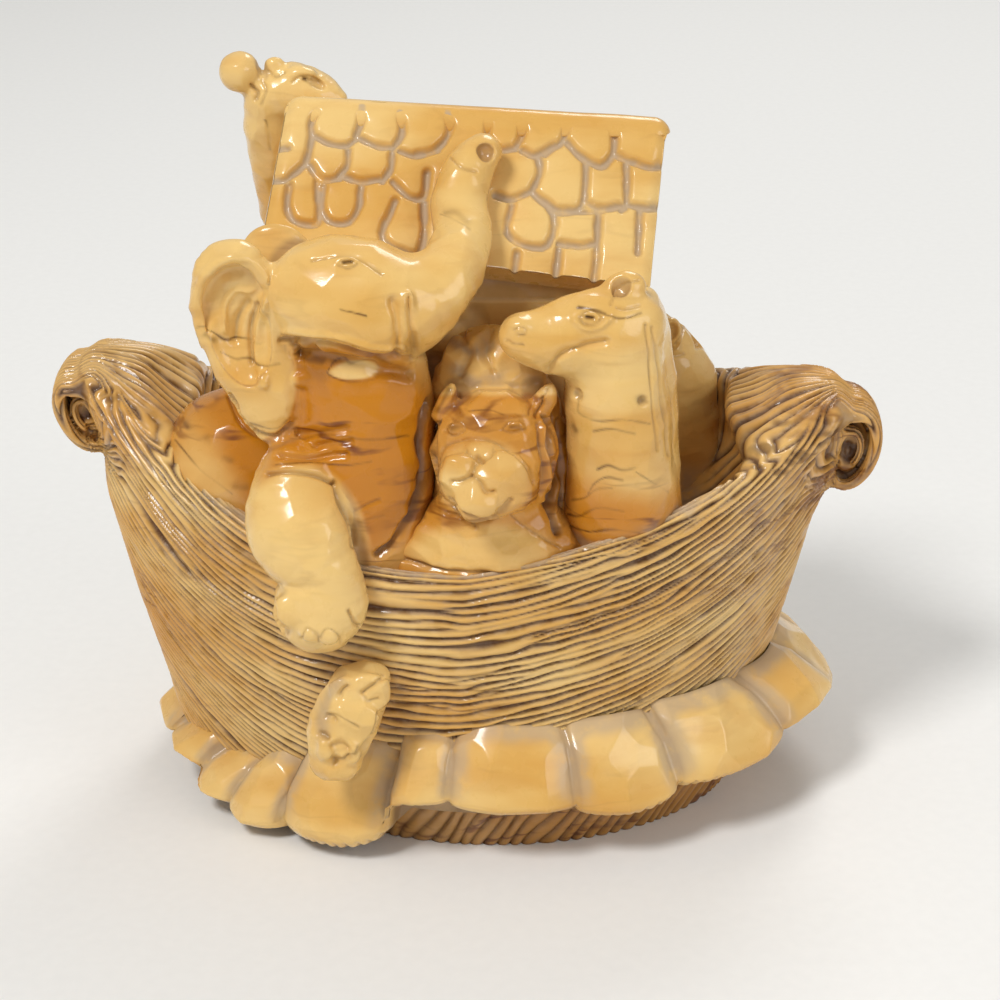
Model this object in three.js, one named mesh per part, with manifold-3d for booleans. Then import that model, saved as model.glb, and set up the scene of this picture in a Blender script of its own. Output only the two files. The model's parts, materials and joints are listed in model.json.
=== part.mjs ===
// An ark carved from olive wood, with its animals, in millimetres.
// +X points to the bow, +Z up, and the viewer of the carved front stands on the -Y side.
// The origin is the middle of the face that the foot rests on.

import * as THREE from 'three';
import { mergeVertices } from 'three/addons/utils/BufferGeometryUtils.js';
import Module from 'manifold-3d';

const wasm = await Module();
wasm.setup();

// Fits
const CARVED_GAP = 0.3;
const CUT_OVERRUN = 12;

// Foot with its bark-like flutes
const FOOT_LENGTH = 94;
const FOOT_WIDTH = 72;
const FOOT_HEIGHT = 9;
const FOOT_FLARE = 3;
const FLUTE_DEPTH = 1.3;
const FLUTE_COUNT = 66;

// Skirt of waves, by how far it stands out past the hull's floor
const SKIRT_REACH = 6.4;
const SKIRT_BREADTH = 10;
const SKIRT_TOP = 29;
const WAVE_LIP_HEIGHT = 15;
const WAVE_BULGE = 2.6;
const WAVE_CREASE = 1.4;
const CREASE_LIFT = 1;

// Hull
const HULL_LENGTH = 136;
const HULL_BEAM = 85;
const HULL_SHIFT = -5.5;
const HULL_FLOOR = 11;
const HULL_WALL = 4.5;
const DECK_HEIGHT = 50;
const BULWARK_HEIGHT = 9;
const STERN_SHEER_RISE = 22;
const BOW_SHEER_RISE = 16.5;

// Rolled ends: the reach of a roll's middle past the hull, its rise over the lowest rim, its sizes
const STERN_SCROLL_REACH = 2;
const STERN_SCROLL_RISE = 14.3;
const STERN_SCROLL_HEIGHT = 19.5;
const STERN_SCROLL_DEPTH = 12;
const STERN_SCROLL_WIDTH = 20;
const BOW_SCROLL_REACH = 2.8;
const BOW_SCROLL_RISE = 6.8;
const BOW_SCROLL_HEIGHT = 21.5;
const BOW_SCROLL_DEPTH = 14;
const BOW_SCROLL_WIDTH = 16;
const SCROLL_ROOT_THICKNESS = 4.6;
const SCROLL_THICKNESS = 2.7;
const SCROLL_TIP_THICKNESS = 1.5;

// Cabin and roof, by their rise over the deck
const CABIN_LENGTH = 61;
const CABIN_WIDTH = 32;
const CABIN_BACKSET = 3;
const EAVE_RISE = 57;
const RIDGE_RISE = 79;
const ROOF_LENGTH = 67;
const ROOF_SHIFT = -3.4;
const ROOF_WIDTH = 42;
const EAVE_SLIDE = 3.6;
const ROOF_THICKNESS = 4;
const ROOF_TILT = 2;
const EAVE_DROP = 2.1;
const RIDGE_RADIUS = 2.6;
const SHINGLE_SEAT = 0.5;
const SHINGLE_THICKNESS = 1;
const SHINGLE_GROOVE = 1.5;

// Figures
const ELEPHANT_LENGTH = 50;
const LION_HEIGHT = 40;
const HORSE_HEIGHT = 60;
const GIRAFFE_HEIGHT = 80;
const HIPPO_HEIGHT = 40;
const CREATURE_LENGTH = 20;

// Facets
const HULL_SIDES = 48;
const LIMB_SIDES = 12;
const LIMB_STEPS = 6;
const EGG_SIDES = 12;
const EGG_RINGS = 7;
const SCROLL_SLOPE_STEPS = 5;
const VOLUTE_STEPS = 22;
const SCROLL_SIDES = 12;
const WAVE_STEPS = 4;
const TAB_CURVE_STEPS = 3;
const ROOF_BAYS = 6;

const WOODS = {
  sapwood: { color: 0xdcb063, roughness: 0.3 },
  heartwood: { color: 0xc98433, roughness: 0.3 },
  gouged: { color: 0xc4954f, roughness: 0.45 },
};

const ark = new THREE.Group();
const takenSpaces = [];

function lerp(from, to, share) {
  return from + (to - from) * share;
}

// Solids

function solidOf(geometry) {
  geometry.deleteAttribute('normal');
  geometry.deleteAttribute('uv');
  const welded = mergeVertices(geometry);
  return new wasm.Manifold(new wasm.Mesh({
    numProp: 3,
    vertProperties: new Float32Array(welded.attributes.position.array),
    triVerts: new Uint32Array(welded.index.array),
  }));
}

// A cut can leave loose chips, so only the body with the most faces is kept
function mainBodyFaces(faces, pointCount) {
  const parent = Array.from({ length: pointCount }, (_, index) => index);
  const rootOf = (index) => {
    let root = index;
    while (parent[root] !== root) {
      root = parent[root];
    }
    parent[index] = root;
    return root;
  };
  const tally = new Map();
  for (let start = 0; start < faces.length; start += 3) {
    parent[rootOf(faces[start + 1])] = rootOf(faces[start]);
    parent[rootOf(faces[start + 2])] = rootOf(faces[start]);
  }
  for (let start = 0; start < faces.length; start += 3) {
    const root = rootOf(faces[start]);
    tally.set(root, (tally.get(root) ?? 0) + 1);
  }
  const [mainRoot] = [...tally].reduce((best, entry) => (entry[1] > best[1] ? entry : best));
  return faces.filter((_, position) => rootOf(faces[position - (position % 3)]) === mainRoot);
}

function geometryOf(solid) {
  const mesh = solid.getMesh();
  const places = new Float32Array(mesh.numVert * 3);
  for (let vertex = 0; vertex < mesh.numVert; vertex += 1) {
    for (let axis = 0; axis < 3; axis += 1) {
      places[vertex * 3 + axis] = mesh.vertProperties[vertex * mesh.numProp + axis];
    }
  }
  const geometry = new THREE.BufferGeometry();
  geometry.setAttribute('position', new THREE.BufferAttribute(places, 3));
  geometry.setIndex([...mesh.triVerts]);
  const welded = mergeVertices(geometry);
  welded.setIndex(mainBodyFaces([...welded.index.array], welded.attributes.position.count));
  welded.computeVertexNormals();
  return welded;
}

// Joins equal rings of points into one closed skin, with a fan over each end
function loftGeometry(rings) {
  const sides = rings[0].length;
  const points = rings.flat();
  const faces = [];
  for (let ring = 0; ring < rings.length - 1; ring += 1) {
    for (let side = 0; side < sides; side += 1) {
      const near = ring * sides + side;
      const next = ring * sides + ((side + 1) % sides);
      faces.push(near, next, next + sides, near, next + sides, near + sides);
    }
  }
  const lastRing = (rings.length - 1) * sides;
  const startHub = points.push(middleOf(rings[0])) - 1;
  const endHub = points.push(middleOf(rings[rings.length - 1])) - 1;
  for (let side = 0; side < sides; side += 1) {
    const next = (side + 1) % sides;
    faces.push(startHub, next, side);
    faces.push(endHub, lastRing + side, lastRing + next);
  }
  const geometry = new THREE.BufferGeometry().setFromPoints(points);
  geometry.setIndex(faces);
  return geometry;
}

function middleOf(ring) {
  const middle = new THREE.Vector3();
  ring.forEach((point) => middle.add(point));
  return middle.divideScalar(ring.length);
}

// Adds a piece that gives way to every space taken before it
function place(name, wood, form) {
  const solid = takenSpaces.reduce((rest, space) => rest.subtract(space), form(0));
  const { color, roughness } = WOODS[wood];
  const material = new THREE.MeshStandardMaterial({ color, roughness, metalness: 0 });
  const mesh = new THREE.Mesh(geometryOf(solid), material);
  mesh.name = name;
  ark.add(mesh);
}

// Keeps later pieces a carved gap off this form
function reserve(form) {
  takenSpaces.push(form(CARVED_GAP));
}

function settle(name, wood, form) {
  place(name, wood, form);
  reserve(form);
}

// Round forms of the figures

// A figure stands on the deck, and its tables are shares of its own size
function figureOn(alongShare, acrossShare, size, height = DECK_HEIGHT) {
  const origin = new THREE.Vector3(
    HULL_SHIFT + (alongShare * HULL_LENGTH) / 2,
    (acrossShare * HULL_BEAM) / 2,
    height,
  );
  return {
    size,
    pointAt: (shares) => new THREE.Vector3(...shares).multiplyScalar(size).add(origin),
  };
}

// An egg of three radii, turned by tilt about the beam and by yaw about the upright, in degrees
function egg(figure, middleShares, radiusShares, { tilt = 0, yaw = 0 } = {}) {
  return (grow) => {
    const radii = radiusShares.map((share) => share * figure.size + grow);
    const middle = figure.pointAt(middleShares);
    const geometry = new THREE.SphereGeometry(1, EGG_SIDES, EGG_RINGS)
      .scale(...radii)
      .rotateY(THREE.MathUtils.degToRad(tilt))
      .rotateZ(THREE.MathUtils.degToRad(yaw))
      .translate(middle.x, middle.y, middle.z);
    return solidOf(geometry);
  };
}

function ovalRing(middle, across, towards, breadth, depth) {
  return Array.from({ length: LIMB_SIDES }, (_, side) => {
    const angle = (side / LIMB_SIDES) * Math.PI * 2;
    return middle.clone()
      .addScaledVector(across, Math.cos(angle) * breadth)
      .addScaledVector(towards, Math.sin(angle) * depth);
  });
}

// A tapering limb through stations of [x, y, z, half breadth, half depth], with round ends
function limb(figure, stationShares) {
  const viewer = new THREE.Vector3(0, -1, 0);
  const path = new THREE.CatmullRomCurve3(stationShares.map((row) => figure.pointAt(row.slice(0, 3))));
  const girths = new THREE.CatmullRomCurve3(
    stationShares.map(([, , , breadth, depth]) => new THREE.Vector3(breadth, depth, 0)),
  );
  return (grow) => {
    const ringAt = (share, girthShare, slide) => {
      const heading = path.getTangent(share);
      const across = new THREE.Vector3().crossVectors(viewer, heading).normalize();
      const towards = new THREE.Vector3().crossVectors(heading, across);
      const girth = girths.getPoint(share).multiplyScalar(figure.size);
      const breadth = girth.x + grow;
      const depth = girth.y + grow;
      const middle = path.getPoint(share).addScaledVector(heading, slide * Math.min(breadth, depth));
      return ovalRing(middle, across, towards, breadth * girthShare, depth * girthShare);
    };
    const rings = [];
    const capAngles = [Math.PI / 12, Math.PI / 4];
    capAngles.forEach((angle) => rings.push(ringAt(0, Math.sin(angle), -Math.cos(angle))));
    for (let step = 0; step <= LIMB_STEPS; step += 1) {
      rings.push(ringAt(step / LIMB_STEPS, 1, 0));
    }
    capAngles.reverse().forEach((angle) => rings.push(ringAt(1, Math.sin(angle), Math.cos(angle))));
    return solidOf(loftGeometry(rings));
  };
}

// Foot

function footRing(height, spread, slant) {
  const corners = FLUTE_COUNT * 2;
  return Array.from({ length: corners }, (_, corner) => {
    const angle = ((corner + slant) / corners) * Math.PI * 2;
    const inset = corner % 2 ? FLUTE_DEPTH : 0;
    const x = Math.cos(angle) * (FOOT_LENGTH / 2 + spread - inset);
    const y = Math.sin(angle) * (FOOT_WIDTH / 2 + spread - inset);
    return new THREE.Vector3(x, y, height);
  });
}

function foot() {
  const flutedRings = [footRing(0, 0, 0), footRing(FOOT_HEIGHT - CARVED_GAP, FOOT_FLARE, 1)];
  return solidOf(loftGeometry(flutedRings));
}

// From the floor to the rim: [share of the way up, share of the half length, share of the half beam,
// and how far the level lies towards the stern, in shares of the half length]
const hullLevelShares = [
  [0, 0.84, 0.8, 0],
  [0.15, 0.86, 0.86, 0.01],
  [0.4, 0.92, 0.93, 0.015],
  [0.7, 0.985, 0.98, 0.015],
  [1, 1, 1, 0],
];

// Skirt of waves
// Each wave ends at a crease, in degrees from the bow seen from above. Its lip hangs below the
// common lip, and its top stays below the skirt's top, by these shares of those two heights.
// A lip that stands above the common one has a share below zero.

const FIRST_CREASE = -166;
const waves = [
  { crease: -151, dropShare: 0.5, sinkShare: 0.42, bulgeShare: 0.8 },
  { crease: -140, dropShare: 0.75, sinkShare: 0.5, bulgeShare: 1.2 },
  { crease: -128, dropShare: 0.85, sinkShare: 0.42, bulgeShare: 1.5 },
  { crease: -108, dropShare: 0.85, sinkShare: 0.2, bulgeShare: 1.3 },
  { crease: -98, dropShare: 0.1, sinkShare: 0.1 },
  { crease: -77, dropShare: 0.2, sinkShare: 0.06 },
  { crease: -59, dropShare: 0.33, sinkShare: 0.04 },
  { crease: -34, dropShare: 0.1, sinkShare: 0 },
  { crease: -10, dropShare: -0.2, sinkShare: 0 },
  { crease: 16, dropShare: 0.1, sinkShare: 0.04 },
  { crease: 42, dropShare: 0.05, sinkShare: 0.06 },
  { crease: 67, dropShare: 0.15, sinkShare: 0.08 },
  { crease: 92, dropShare: 0.05, sinkShare: 0.06 },
  { crease: 117, dropShare: 0.2, sinkShare: 0.1 },
  { crease: 143, dropShare: 0.3, sinkShare: 0.2 },
  { crease: 168, dropShare: 0.4, sinkShare: 0.3 },
  { crease: 194, dropShare: 0.45, sinkShare: 0.36 },
];

// Levels of [share of the skirt's plan, share of the way from the wave's lip to its top]
const waveLevelShares = [[0.93, 0], [1, 0.1], [1.03, 0.3], [0.96, 0.68], [0.84, 1]];
const SWELL_POWER = 0.38;

function waveStations() {
  const lips = waves.map(({ dropShare }) => WAVE_LIP_HEIGHT * (1 - dropShare));
  return waves.flatMap(({ crease, sinkShare, bulgeShare = 1 }, index) => {
    const before = (index + waves.length - 1) % waves.length;
    const after = (index + 1) % waves.length;
    const start = index ? waves[before].crease : FIRST_CREASE;
    return Array.from({ length: WAVE_STEPS }, (_, step) => {
      const share = step / WAVE_STEPS;
      const swell = Math.sin(share * Math.PI) ** SWELL_POWER;
      const neighbour = lips[share < 1 / 2 ? before : after];
      const creaseLip = lerp(lips[index], neighbour, 1 / 2) + CREASE_LIFT;
      return {
        angle: THREE.MathUtils.degToRad(lerp(start, crease, share)),
        outward: WAVE_BULGE * bulgeShare * swell - WAVE_CREASE,
        lip: lerp(creaseLip, lips[index], swell),
        top: SKIRT_TOP * (1 - sinkShare) - WAVE_CREASE * (1 - swell),
      };
    });
  });
}

function skirtRing(stations, planShare, riseShare, grow) {
  const [[, floorLength, floorBeam]] = hullLevelShares;
  const halfLength = (HULL_LENGTH / 2) * floorLength + SKIRT_REACH;
  const halfWidth = (HULL_BEAM / 2) * floorBeam + SKIRT_BREADTH;
  return stations.map(({ angle, outward, lip, top }) => {
    const x = Math.cos(angle) * (halfLength * planShare + outward + grow);
    const y = Math.sin(angle) * (halfWidth * planShare + outward + grow);
    return new THREE.Vector3(x, y, lerp(lip, top, riseShare) + grow);
  });
}

function waveSkirt(grow) {
  const stations = waveStations();
  const seat = stations.map(({ angle }) => new THREE.Vector3(
    Math.cos(angle) * (FOOT_LENGTH / 2 + FOOT_FLARE),
    Math.sin(angle) * (FOOT_WIDTH / 2 + FOOT_FLARE),
    FOOT_HEIGHT,
  ));
  const levels = waveLevelShares.map(([plan, rise]) => skirtRing(stations, plan, rise, grow));
  return solidOf(loftGeometry([seat, ...levels]));
}

// Hull

// From the deck upwards, inside the wall
const wellLevelShares = [[0, 0.72, 0.86, 0], [0.4, 0.84, 0.94, 0], [1, 0.96, 1, 0]];

// The rim rises towards both ends, sooner towards the bow
const BOW_SHEER_POWER = 1.2;
const STERN_SHEER_POWER = 2.3;

function rimHeightAt(angle) {
  const reach = Math.cos(angle);
  const sheer = reach > 0
    ? BOW_SHEER_RISE * reach ** BOW_SHEER_POWER
    : STERN_SHEER_RISE * (-reach) ** STERN_SHEER_POWER;
  return DECK_HEIGHT + BULWARK_HEIGHT + sheer;
}

function hullRing(bottom, [riseShare, lengthShare, beamShare, sternShare], inset, extra = 0) {
  const middleX = HULL_SHIFT - (HULL_LENGTH / 2) * sternShare;
  return Array.from({ length: HULL_SIDES }, (_, side) => {
    const angle = (side / HULL_SIDES) * Math.PI * 2;
    return new THREE.Vector3(
      middleX + Math.cos(angle) * ((HULL_LENGTH / 2) * lengthShare - inset),
      Math.sin(angle) * ((HULL_BEAM / 2) * beamShare - inset),
      lerp(bottom, rimHeightAt(angle), riseShare) + extra,
    );
  });
}

function hullShell(grow) {
  const outside = hullLevelShares.map((level) => hullRing(HULL_FLOOR - grow, level, -grow, grow));
  const wall = HULL_WALL + grow;
  const floor = DECK_HEIGHT - CARVED_GAP + grow;
  const well = wellLevelShares.map((level) => hullRing(floor, level, wall));
  well.push(hullRing(floor, [1, 1, 1, 0], wall, CUT_OVERRUN));
  return solidOf(loftGeometry(outside)).subtract(solidOf(loftGeometry(well)));
}

// Rolled ends

// Each end leans outwards by this many degrees. The rolled plank climbs the rim through points
// placed from the middle of the roll: [share of its half depth, share of its half height,
// share of its half width].
const sternScroll = {
  side: -1,
  reach: STERN_SCROLL_REACH,
  rise: STERN_SCROLL_RISE,
  height: STERN_SCROLL_HEIGHT,
  depth: STERN_SCROLL_DEPTH,
  width: STERN_SCROLL_WIDTH,
  lean: 24,
  climbShares: [[-3.46, -0.815, 1.6], [-2.27, 0.04, 1.35], [-1.155, 0.705, 1.1], [0, 1, 1]],
};
const bowScroll = {
  side: 1,
  reach: BOW_SCROLL_REACH,
  rise: BOW_SCROLL_RISE,
  height: BOW_SCROLL_HEIGHT,
  depth: BOW_SCROLL_DEPTH,
  width: BOW_SCROLL_WIDTH,
  lean: 12,
  climbShares: [[-3.73, 0.145, 1.9], [-2.6, 0.54, 1.5], [-1.455, 0.89, 1.2], [0, 1, 1]],
};
const VOLUTE_TURNS = 1.35;
const VOLUTE_TAPER_POWER = 4;
const voluteShrinkShare = 0.33;
const tipWidthShare = 0.7;
const barrelShare = 0.25;
const SECTION_POWER = 0.5;

// A grown plank also starts earlier, by this many times its growth
const START_REACH_COUNT = 5;

// The roll's own axes: its middle, outwards along its depth, and up along its height
function rollFrame({ side, reach, rise, lean }) {
  const angle = THREE.MathUtils.degToRad(lean);
  const middleX = HULL_SHIFT + side * (HULL_LENGTH / 2 + reach);
  return {
    middle: new THREE.Vector3(middleX, 0, DECK_HEIGHT + BULWARK_HEIGHT + rise),
    outwards: new THREE.Vector3(side * Math.cos(angle), 0, -Math.sin(angle)),
    upwards: new THREE.Vector3(side * Math.sin(angle), 0, Math.cos(angle)),
  };
}

function scrollStations(end) {
  const { middle, outwards, upwards } = rollFrame(end);
  const halfDepth = (end.depth - SCROLL_THICKNESS) / 2;
  const halfHeight = (end.height - SCROLL_THICKNESS) / 2;
  const stationAt = (out, up, width, thickness) => ({
    place: middle.clone()
      .addScaledVector(outwards, out * halfDepth)
      .addScaledVector(upwards, up * halfHeight),
    halfWidth: (end.width / 2) * width,
    halfThickness: thickness / 2,
  });
  const slope = new THREE.CatmullRomCurve3(end.climbShares.map((row) => new THREE.Vector3(...row)));
  const climb = Array.from({ length: SCROLL_SLOPE_STEPS }, (_, step) => {
    const share = step / SCROLL_SLOPE_STEPS;
    const thickness = lerp(SCROLL_ROOT_THICKNESS, SCROLL_THICKNESS, share);
    return stationAt(...slope.getPoint(share).toArray(), thickness);
  });
  const volute = Array.from({ length: VOLUTE_STEPS + 1 }, (_, step) => {
    const share = step / VOLUTE_STEPS;
    const angle = share * VOLUTE_TURNS * Math.PI * 2;
    const shrink = lerp(1, voluteShrinkShare, share);
    const thickness = lerp(SCROLL_THICKNESS, SCROLL_TIP_THICKNESS, share);
    const width = lerp(tipWidthShare, 1, (1 - share) ** VOLUTE_TAPER_POWER);
    return stationAt(Math.sin(angle) * shrink, Math.cos(angle) * shrink, width, thickness);
  });
  return { climb, volute };
}

// A plank's section: flat faces and round edges, drawn in towards the roll's middle like a barrel
function plankRing(station, heading, middle, grow) {
  const across = new THREE.Vector3(0, 1, 0);
  const outward = new THREE.Vector3().crossVectors(heading, across);
  return Array.from({ length: SCROLL_SIDES }, (_, side) => {
    const angle = ((side + 0.5) / SCROLL_SIDES) * Math.PI * 2;
    const aside = Math.sign(Math.cos(angle)) * Math.abs(Math.cos(angle)) ** SECTION_POWER;
    const above = Math.sign(Math.sin(angle)) * Math.abs(Math.sin(angle)) ** SECTION_POWER;
    const shift = aside * (station.halfWidth + grow);
    return station.place.clone()
      .addScaledVector(outward, above * (station.halfThickness + grow))
      .lerp(middle, barrelShare * Math.min(1, Math.abs(shift) / station.halfWidth) ** 2)
      .addScaledVector(across, shift);
  });
}

function plankAlong(stations, middle, grow) {
  const rings = stations.map((station, index) => {
    const before = stations[Math.max(0, index - 1)].place;
    const after = stations[Math.min(stations.length - 1, index + 1)].place;
    return plankRing(station, after.clone().sub(before).normalize(), middle, grow);
  });
  const backShare = (START_REACH_COUNT * grow) / stations[0].place.distanceTo(stations[1].place);
  rings[0].forEach((point, side) => point.lerp(rings[1][side], -backShare));
  return solidOf(loftGeometry(rings));
}

function scroll(end) {
  const { climb, volute } = scrollStations(end);
  const { middle } = rollFrame(end);
  return (grow) => plankAlong([...climb, ...volute], middle, grow);
}

// The space of a scroll with its roll filled in
function scrollSpace(end) {
  const { climb, volute } = scrollStations(end);
  const { middle, outwards, upwards } = rollFrame(end);
  const firstQuarter = volute.slice(0, Math.ceil(VOLUTE_STEPS / VOLUTE_TURNS / 4) + 1);
  const across = new THREE.Vector3(0, end.side, 0);
  return (grow) => {
    const halfWidth = (end.width / 2) * tipWidthShare + grow;
    const ringAt = (shift) => ovalRing(
      middle.clone().addScaledVector(across, shift),
      upwards,
      outwards,
      end.height / 2 + grow,
      end.depth / 2 + grow,
    );
    const roll = solidOf(loftGeometry([ringAt(-halfWidth), ringAt(halfWidth)]));
    return plankAlong([...climb, ...firstQuarter], middle, grow).add(roll);
  };
}

// Cabin and roof

const eaveLipShare = 0.06;
const eaveUndercutShare = 0.02;
const eaveNoseShare = 1 / 3;
const ridgeSinkShare = 0.8;
const ridgeBreadthShare = 1.4;
const ridgeEndShare = 0.75;

// A roof corner: end is -1 at the stern and 1 at the bow, slope is -1 in front and 1 behind
function ridgePoint(end) {
  const x = ROOF_SHIFT + (end * ROOF_LENGTH) / 2;
  return new THREE.Vector3(x, CABIN_BACKSET, DECK_HEIGHT + RIDGE_RISE - end * ROOF_TILT);
}

function eavePoint(end, slope) {
  const x = ROOF_SHIFT - EAVE_SLIDE + (end * ROOF_LENGTH) / 2;
  const y = CABIN_BACKSET + (slope * ROOF_WIDTH) / 2;
  return new THREE.Vector3(x, y, DECK_HEIGHT + EAVE_RISE - end * (ROOF_TILT + EAVE_DROP));
}

// A place on a slope: along from stern to bow, down from ridge to eave, and above its face
function slopePoint(slope, along, down, above) {
  const end = along * 2 - 1;
  const run = eavePoint(1, slope).sub(eavePoint(-1, slope));
  const fall = eavePoint(0, slope).sub(ridgePoint(0));
  const normal = new THREE.Vector3().crossVectors(fall, run).multiplyScalar(-slope).normalize();
  return ridgePoint(end).lerp(eavePoint(end, slope), down).addScaledVector(normal, above);
}

// A slope of the roof, with the layer of shingles on it if asked
function roofSlope(slope, layer = 0) {
  return (grow) => {
    const margin = grow / ROOF_LENGTH;
    const eaveDown = 1 + grow / ridgePoint(0).distanceTo(eavePoint(0, slope));
    const section = (along) => [
      slopePoint(slope, along, 0, layer + grow),
      slopePoint(slope, along, eaveDown - eaveLipShare, layer + grow),
      slopePoint(slope, along, eaveDown, -ROOF_THICKNESS * eaveNoseShare),
      slopePoint(slope, along, eaveDown - eaveUndercutShare, -ROOF_THICKNESS - grow),
      slopePoint(slope, along, 0, -ROOF_THICKNESS - grow),
    ];
    const rings = Array.from({ length: ROOF_BAYS + 1 }, (_, bay) => (
      section(lerp(-margin, 1 + margin, bay / ROOF_BAYS))
    ));
    return solidOf(loftGeometry(slope > 0 ? rings.map((ring) => ring.reverse()) : rings));
  };
}

// The back slope ends against the front one at the peak
function backSlope(grow) {
  return roofSlope(1)(grow).subtract(roofSlope(-1)(CARVED_GAP));
}

function roofRidge(grow) {
  const radius = RIDGE_RADIUS + grow;
  const heading = ridgePoint(1).sub(ridgePoint(-1)).normalize();
  const across = new THREE.Vector3(0, 1, 0);
  const up = new THREE.Vector3().crossVectors(heading, across);
  const sink = -RIDGE_RADIUS * ridgeSinkShare;
  const ringAt = (end, slide, girthShare) => ovalRing(
    ridgePoint(end).addScaledVector(heading, slide).addScaledVector(up, sink),
    across,
    up,
    radius * ridgeBreadthShare * girthShare,
    radius * girthShare,
  );
  return solidOf(loftGeometry([
    ringAt(-1, -grow, ridgeEndShare),
    ringAt(-1, RIDGE_RADIUS / 3, 1),
    ringAt(1, -RIDGE_RADIUS / 3, 1),
    ringAt(1, grow, ridgeEndShare),
  ]));
}

function cabinWalls(grow) {
  const half = CABIN_WIDTH / 2 + grow;
  const underEave = (side) => {
    const down = half / (ROOF_WIDTH / 2);
    return slopePoint(side, 0.5, down, -ROOF_THICKNESS - ROOF_TILT - EAVE_DROP - CARVED_GAP);
  };
  const peak = slopePoint(1, 0.5, 0, -ROOF_THICKNESS - ROOF_TILT - EAVE_DROP - CARVED_GAP);
  const outline = new THREE.Shape();
  outline.moveTo(CABIN_BACKSET - half, DECK_HEIGHT - grow);
  outline.lineTo(CABIN_BACKSET + half, DECK_HEIGHT - grow);
  outline.lineTo(CABIN_BACKSET + half, underEave(1).z);
  outline.lineTo(CABIN_BACKSET, peak.z);
  outline.lineTo(CABIN_BACKSET - half, underEave(-1).z);
  const depth = CABIN_LENGTH + 2 * grow;
  const geometry = new THREE.ExtrudeGeometry(outline, { depth, bevelEnabled: false });
  geometry.rotateX(Math.PI / 2).rotateZ(Math.PI / 2).translate(HULL_SHIFT - depth / 2, 0, 0);
  return solidOf(geometry);
}

// Shingle courses

// Each course: where it starts and ends down the slope, and the joints between its tabs along it
const courseShares = [
  { top: 0.12, foot: 0.33, joints: [0.1, 0.22, 0.32, 0.44, 0.545, 0.63, 0.74, 0.86] },
  { top: 0.35, foot: 0.55, joints: [0.09, 0.19, 0.3, 0.4, 0.49, 0.57, 0.67, 0.78, 0.89] },
  { top: 0.57, foot: 0.76, joints: [0.07, 0.15, 0.24, 0.33, 0.42, 0.52, 0.61, 0.72, 0.83, 0.94] },
  { top: 0.78, foot: 0.95, joints: [0.08, 0.16, 0.25, 0.34, 0.43, 0.52, 0.62, 0.72, 0.82, 0.92] },
];
const courseMarginShare = 0.012;
const webShare = 0.3;
const tabRoundShare = 0.3;
const TAB_ROUND_POWER = 0.6;

// Outline of one course in shares of the slope: straight along its top, round-footed tabs below
function courseOutline({ top, foot: tabFoot, joints }) {
  const grooveShare = SHINGLE_GROOVE / ROOF_LENGTH;
  const web = lerp(top, tabFoot, webShare);
  const edges = [courseMarginShare, ...joints, 1 - courseMarginShare];
  const points = [[edges[edges.length - 1], top], [edges[0], top]];
  for (let tab = 0; tab < edges.length - 1; tab += 1) {
    const left = edges[tab] + (tab ? grooveShare / 2 : 0);
    const right = edges[tab + 1] - (tab < edges.length - 2 ? grooveShare / 2 : 0);
    if (tab) {
      points.push([left, web]);
    }
    for (let step = 0; step <= TAB_CURVE_STEPS; step += 1) {
      const turn = (step / TAB_CURVE_STEPS) * Math.PI;
      const round = tabRoundShare * (1 - Math.sin(turn) ** TAB_ROUND_POWER) * (tabFoot - top);
      points.push([lerp(left, right, (1 - Math.cos(turn)) / 2), tabFoot - round]);
    }
    if (tab < edges.length - 2) {
      points.push([right, web]);
    }
  }
  return points;
}

function shingleCourse(slope, course) {
  return (grow) => {
    const outline = courseOutline(course);
    const shape = new THREE.Shape(outline.map(([along, down]) => new THREE.Vector2(along, down)));
    const geometry = new THREE.ExtrudeGeometry(shape, { depth: 1, bevelEnabled: false });
    const places = geometry.attributes.position;
    for (let index = 0; index < places.count; index += 1) {
      const layer = slope < 0 ? 1 - places.getZ(index) : places.getZ(index);
      const above = SHINGLE_SEAT + lerp(-grow, SHINGLE_THICKNESS + grow, layer);
      const place = slopePoint(slope, places.getX(index), places.getY(index), above);
      places.setXYZ(index, place.x, place.y, place.z);
    }
    return solidOf(geometry);
  };
}

// Elephant

const elephant = figureOn(-0.29, -0.66, ELEPHANT_LENGTH);
const elephantHead = egg(elephant, [0.02, -0.04, 1.1], [0.3, 0.21, 0.22], { tilt: 14 });
const elephantTrunk = limb(elephant, [
  [0.1, -0.06, 1.08, 0.17, 0.17],
  [0.25, -0.06, 1.08, 0.15, 0.15],
  [0.37, 0.02, 1.15, 0.13, 0.13],
  [0.384, 0.16, 1.25, 0.104, 0.1],
  [0.372, 0.27, 1.34, 0.098, 0.092],
  [0.404, 0.35, 1.43, 0.092, 0.084],
  [0.456, 0.39, 1.49, 0.064, 0.064],
]);
const nearEarTurn = { tilt: -8, yaw: -12 };

function elephantNearEar(grow) {
  const flap = egg(elephant, [-0.35, -0.07, 0.95], [0.2, 0.075, 0.37], nearEarTurn)(grow);
  const hollow = egg(elephant, [-0.36, -0.15, 1.0], [0.14, 0.07, 0.26], nearEarTurn)(-grow);
  return flap.subtract(hollow);
}

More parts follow.
